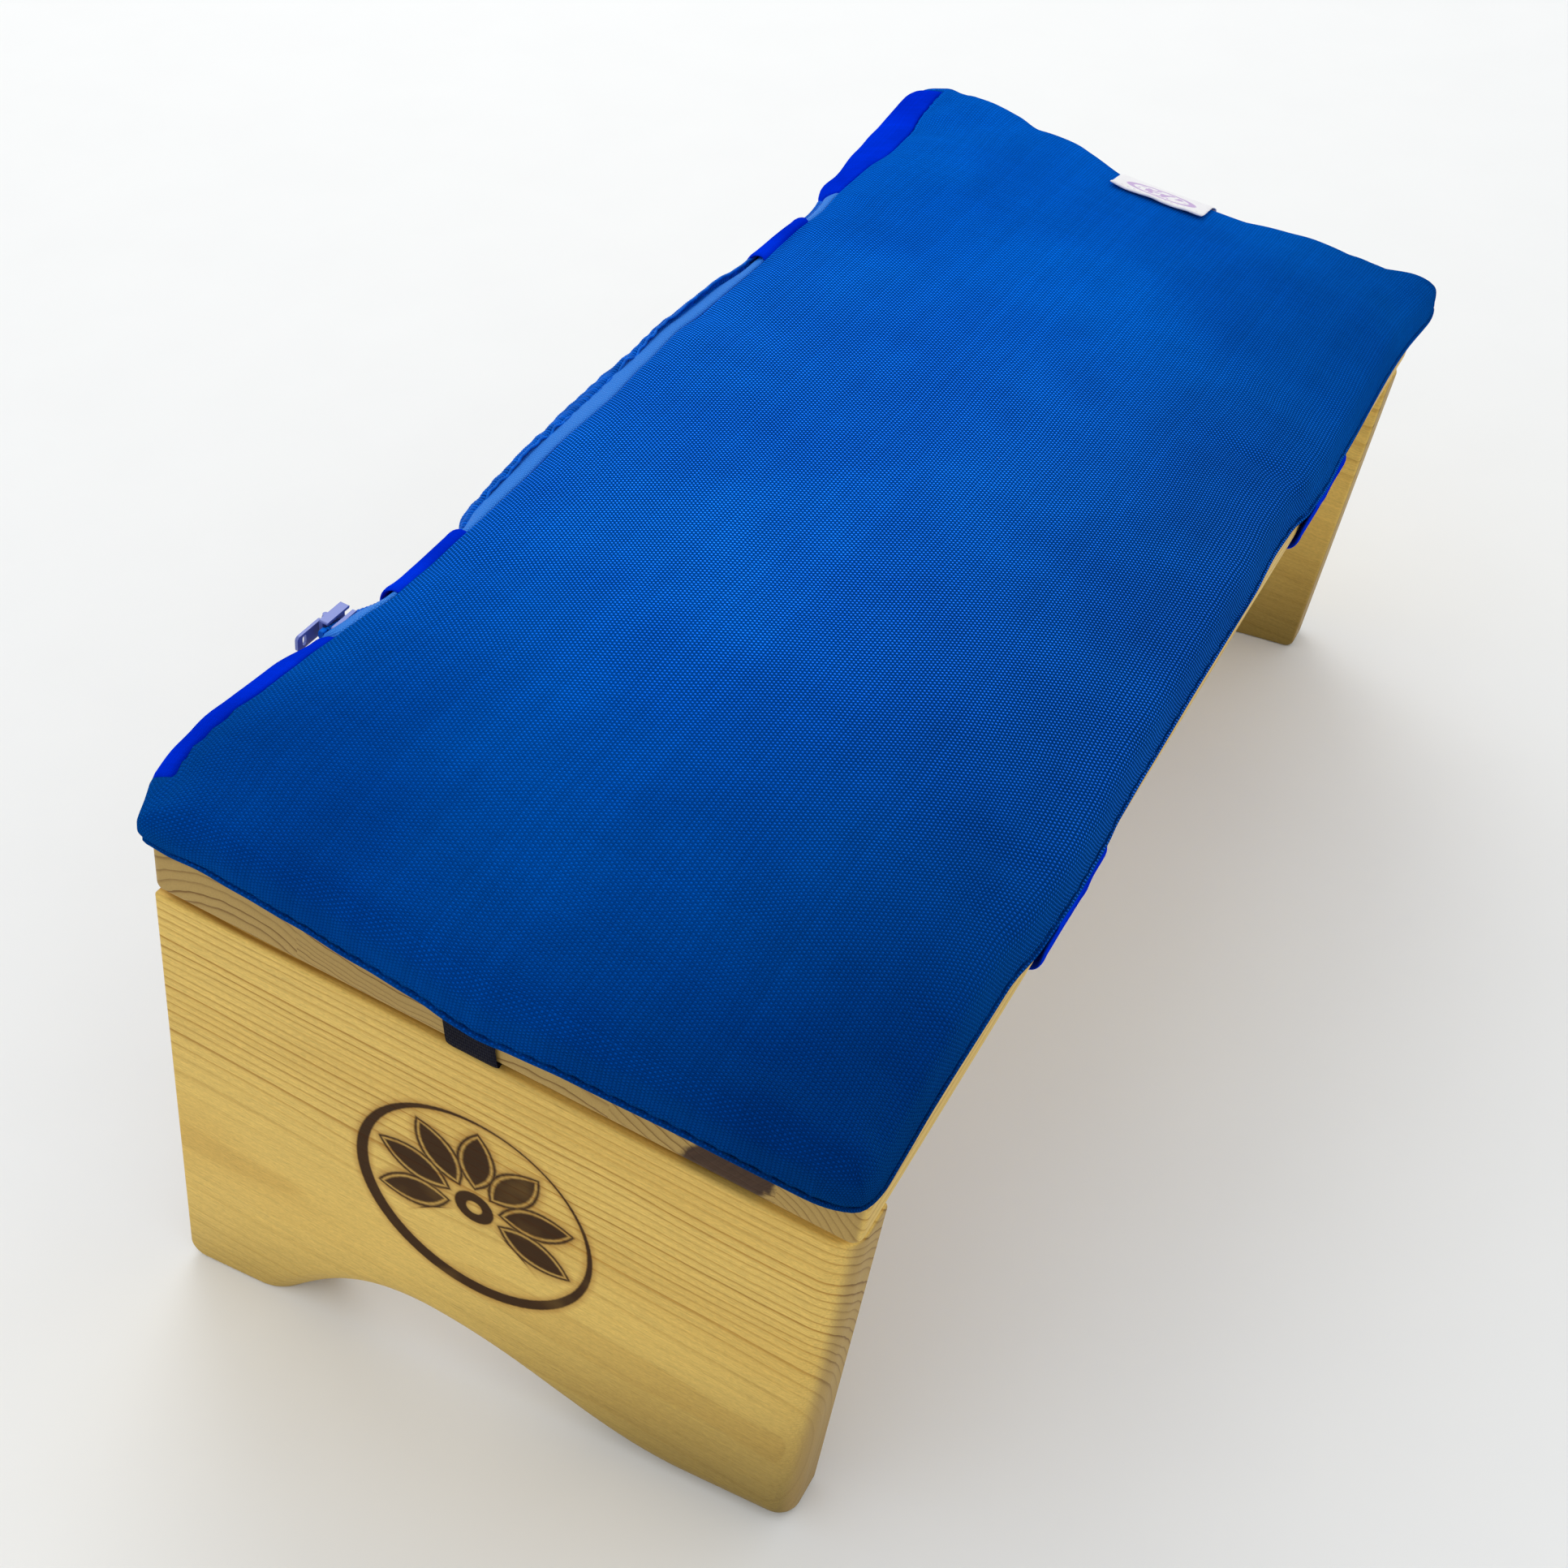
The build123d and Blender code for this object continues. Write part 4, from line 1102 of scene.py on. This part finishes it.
def coil_loops(side):
    """The loops of one coil: each goes out from its tape, over, and in between its two neighbours."""
    loops, cord = [], []
    x = ZIP_START + 2.6 + (0 if side > 0 else COIL_PITCH / 2)
    while x < ZIP_END - 2.4:
        middle, out, along = zip_frame(x)
        loops.append([middle + LENGTH * a + out * b + along * (side * c) for a, b, c in COIL_LOOP])
        cord.append(middle + out * 0.1 + along * (side * 3.3))
        x += COIL_PITCH
    return [*loops, cord]


def coil_core():
    """The chain's solid middle under the loops."""
    line = []
    for x in np.arange(ZIP_START + 3.0, ZIP_END - 2.4, COIL_PITCH):
        middle, out, _ = zip_frame(x)
        line.append(middle + out * 0.2)
    return line


for end, side in (("upper", 1), ("lower", -1)):
    tubes(f"zip_coil_{end}_loops", coil_loops(side), COIL_WIRE, ZIP_COIL, (f"zip_coil_{end}",))
tubes("zip_coil_core", [coil_core()], 1.0, ZIP_COIL)


# ---------------------------------------------------------------- straps, patches and label

RAY_START = 60                     # how far out a ray that looks for the cover sets off


def cloth_at(heart, way):
    """Where the cover lies in a direction, seen from a place inside it."""
    return surface.ray_cast(heart + way * RAY_START, -way)[0]


STRAP_WIDTH = 34
STRAPS = {"near": -120.0, "far": 102.0}
STRAP_CLOTH = 0.9                  # its thickness
STRAP_HEM = 3.2
STRAP_LEVEL = -0.9                 # the back strap's height under the seat
FRONT_LEVEL = -3.9                 # the front strap's, with the patches between the two
FRONT_SKEW = {"near": 7.0, "far": 10.0}   # how far along the bench the front straps start from the back ones
STRAP_COLUMNS = np.linspace(-STRAP_WIDTH / 2, STRAP_WIDTH / 2, 19)


def back_strap_line(x):
    """One thread of a back strap: out of the top seam, over the zip, down the seat's edge and under it."""
    seam_y, seam_z = (float(np.interp(x, seam_row[:, 0], seam_row[:, axis])) for axis in (1, 2))
    line = [(x, seam_y - 1.2, seam_z - 1.4), (x, seam_y + 0.6, seam_z + 0.1)]
    heart = Vector((x, 92.0, 25.0))
    for angle, gap in ((50, 1.2), (38, 2.2), (24, 2.4), (8, 2.4), (-8, 1.6), (-22, 1.2)):
        way = Vector((0, math.cos(math.radians(angle)), math.sin(math.radians(angle))))
        line.append(tuple(cloth_at(heart, way) + way * gap))
    return [
        *line, (x, 101.8, 12), (x, 101.4, 5), (x, 101.2, STRAP_LEVEL), (x, 92, STRAP_LEVEL),
        (x, -7, STRAP_LEVEL),
    ]


for end, x in STRAPS.items():
    lines = [rounded_path(back_strap_line(x + offset)) for offset in STRAP_COLUMNS]
    grid = np.array([resampled(line, 110)[0] for line in lines]).transpose(1, 0, 2)
    middle, offsets = grid[:, grid.shape[1] // 2], grid[0, :, 0] - grid[0, :, 0].mean()
    finish_sheet(f"strap_{end}_back_cloth", grid, run_along(middle), offsets, STRAP_CLOTH, LINING,
                 (f"strap_{end}_back",), STRAP_HEM, 0.22, x * 0.01)
    front = FRONT_Y - TOP_INSET - float(eased(x, FRONT_EDGE))
    skew = FRONT_SKEW[end]
    front_line = [
        (x + skew, front + 3.2, 19.0), (x + skew, front + 0.6, 17.6), (x + skew, -103.0, 13.0),
        (x + skew, -101.6, 5), (x + skew, -101.2, FRONT_LEVEL), (x + skew, -94, FRONT_LEVEL),
        (x + skew * 0.3, -20, FRONT_LEVEL), (x, 33, FRONT_LEVEL),
    ]
    ribbon(f"strap_{end}_front_cloth", rounded_path(front_line), (1, 0, 0), STRAP_WIDTH, STRAP_CLOTH, LINING,
           (f"strap_{end}_front",), hem=STRAP_HEM, wobble=0.2, columns=19, seed=x * 0.01 + 5)
    for patch, z in (("loop", -1.95), ("hook", -2.85)):
        ribbon(f"{patch}_patch_{end}_pile", [(x, -6, z), (x, 32, z)], (1, 0, 0), 28, 0.8, HOOK_AND_LOOP,
               (f"{patch}_patch_{end}",))

LEAN = math.tan(SLOPE)             # the end straps hang straight down, which leans them in the seat's frame
END_STRAP_Y = 5
for end, side in (("near", -1), ("far", 1)):
    outline = eased(END_STRAP_Y, NEAR_EDGE if side < 0 else FAR_EDGE)
    top_x = side * (HALF_X + 3.0 + min(0.0, float(outline)))
    line = [
        (top_x, END_STRAP_Y + LEAN * 12, 19.0), (side * 237.6, END_STRAP_Y + LEAN * 8, 16.0),
        (side * 236.9, END_STRAP_Y + LEAN * 2, 10.0), (side * 236.9, END_STRAP_Y - LEAN * 6, 2.5),
        (side * 236.7, END_STRAP_Y - LEAN * 8, STRAP_LEVEL), (side * 232, END_STRAP_Y, STRAP_LEVEL),
        (side * 202, END_STRAP_Y, STRAP_LEVEL),
    ]
    ribbon(f"end_strap_{end}_webbing", rounded_path(line), (0, 1, 0), 15, STRAP_CLOTH, WEBBING,
           (f"end_strap_{end}",), columns=11)


LABEL_GAP = 0.45                   # from the cloth to the label's middle layer


def label_line(y):
    """Where the label runs at y: up the far end, over its rim and onto the top, close to the cloth."""
    heart = Vector((222.0, y, ZIP_MIDDLE))
    line = []
    for angle in np.radians(np.arange(-8, 60, 4)):
        way = Vector((math.cos(angle), 0, math.sin(angle)))
        line.append(cloth_at(heart, way) + way * LABEL_GAP)
    rim = line[-1].x
    for x in np.arange(rim - 1.0, rim - 16.5, -1.0):
        hit = surface.ray_cast(Vector((x, y, RAY_START)), -Vector((0, 0, 1)))[0]
        line.append(hit + Vector((0, 0, LABEL_GAP)))
    return np.array(line)


LABEL_SPAN = (-15.5, 22.0)
label_y = np.linspace(*LABEL_SPAN, 25)
label_grid = []
for y in label_y:
    line, _ = spaced(label_line(y), 0.9)
    share, known = np.linspace(0, 1, 34), np.linspace(0, 1, len(line))
    label_grid.append(np.column_stack([np.interp(share, known, column) for column in line.T]))
label_grid = np.array(label_grid).transpose(1, 0, 2)
label_run = run_along(label_grid[:, 12])


def label_sheet():
    """The label as a folded ribbon: smooth, raised a little at its free end, with a rolled hem there."""
    rows, columns = label_grid.shape[:2]
    along = np.gradient(label_grid, axis=0)
    aside = np.gradient(label_grid, axis=1)
    normal = np.cross(aside, along)
    normal /= np.linalg.norm(normal, axis=2)[..., None]
    normal *= np.sign(normal[..., 2:3] + normal[..., :1] * 0.5 + 1e-6)
    to_free = (label_run[-1] - label_run)[:, None]
    offset = (label_y - np.mean(LABEL_SPAN))[None, :]
    lift = 0.35 + 0.75 * np.exp(-((to_free / 3.0) ** 2)) * (1 + 0.3 * np.sin(offset * 0.4 + 0.6))
    lift = lift + 0.25 * np.exp(-(((np.abs(offset) - 18) / 2.0) ** 2))
    hem = 0.75 * np.exp(-(((to_free - 1.0) / 1.1) ** 2))
    stitch_dip = 0.35 * np.exp(-(((to_free - 3.0) / 0.5) ** 2))
    thick = (0.55 + hem - stitch_dip) * np.ones_like(offset)
    thick[:, (0, -1)] *= 0.5
    outer = label_grid + normal * (lift + thick / 2)[..., None]
    inner = label_grid + normal * (lift - thick / 2)[..., None]
    ripple = 0.12 * np.sin(offset * 0.9) * np.exp(-((to_free / 2.0) ** 2))
    outer[..., 0] += ripple
    inner[..., 0] += ripple
    faces = sheet_faces(rows, columns)
    flat = np.stack(np.broadcast_arrays(LABEL_ROW - 7.5 + to_free, offset), axis=-1).reshape(-1, 2)
    points = np.concatenate([outer.reshape(-1, 3), inner.reshape(-1, 3)])
    subdivided(make_piece("label_ribbon", points, faces, LABEL_CLOTH, ("label",),
                          np.concatenate([flat, flat])))
    row = int(np.argmin(np.abs(to_free - 3.0)))
    stitches("label_stitches", outer[row, 1:-1], normal[row, 1:-1], WHITE_THREAD,
             length=1.7, gap=0.8, radius=0.13)


label_sheet()


# ---------------------------------------------------------------- camera, light and floor

CAMERA_AT = Vector((-0.5182, -0.2313, 0.5240))
CAMERA_AIM = Vector((-0.1182, -0.0250, 0.1500))
CAMERA_ROLL = math.radians(0.245)
LENS = 49.36

camera_data = bpy.data.cameras.new("camera")
camera = linked("camera", camera_data)
aim = (CAMERA_AIM - CAMERA_AT).to_track_quat("-Z", "Y")
camera.rotation_mode = "QUATERNION"
camera.rotation_quaternion = aim @ Matrix.Rotation(CAMERA_ROLL, 4, "Z").to_quaternion()
camera.location = CAMERA_AT
camera_data.lens, camera_data.sensor_width = LENS, 36
camera_data.clip_start, camera_data.clip_end = 0.01, 100
bpy.context.scene.camera = camera


def make_light(name, at, aim, size, power, colour):
    data = bpy.data.lights.new(name, "AREA")
    data.shape, data.size, data.energy, data.color = "DISK", size, power, colour
    light = linked(name, data)
    light.location = at
    light.rotation_mode = "QUATERNION"
    light.rotation_quaternion = (Vector(aim) - Vector(at)).to_track_quat("-Z", "Y")


make_light("key", (1.55, 1.15, 1.75), (0.0, 0.0, 0.1), 1.6, 12.5, (1.0, 0.995, 0.985))
make_light("side", (-1.35, 0.75, 0.95), (-0.2, 0, 0.1), 1.1, 1.2, (1.0, 0.99, 0.97))


def make_world():
    """A white studio, brighter behind the object and overhead than in front of it."""
    world = bpy.data.worlds.new("studio")
    bpy.context.scene.world = world
    world.use_nodes = True
    tree = world.node_tree
    place = tree.nodes.new("ShaderNodeTexCoord")
    towards = tree.nodes.new("ShaderNodeVectorMath")
    towards.operation = "DOT_PRODUCT"
    towards.inputs[1].default_value = Vector((0.15, 0.2, 0.95)).normalized()
    tree.links.new(place.outputs["Generated"], towards.inputs[0])
    level = tree.nodes.new("ShaderNodeMapRange")
    for socket, value in zip(level.inputs[1:5], (-0.25, 0.9, 0.70, 1.02)):
        socket.default_value = value
    tree.links.new(towards.outputs["Value"], level.inputs[0])
    background = tree.nodes["Background"]
    background.inputs["Color"].default_value = (0.985, 0.99, 1.0, 1)
    tree.links.new(level.outputs[0], background.inputs["Strength"])


make_world()

floor_net = Net("paper_floor")
paper = floor_net.noise(floor_net.seat_place(), 0.02, 3.0)
floor_material = floor_net.finish(
    floor_net.scaled((0.84, 0.85, 0.845), 0.985 + paper * 0.03), 0.6, Specular_IOR_Level=0.2
)
floor_mesh = new_mesh("floor", [(-9, -9, 0), (9, -9, 0), (9, 9, 0), (-9, 9, 0)], [(0, 1, 2, 3)])
floor_mesh.materials.append(floor_material)
floor = linked("floor", floor_mesh)

bpy.context.scene.view_settings.view_transform = "Standard"
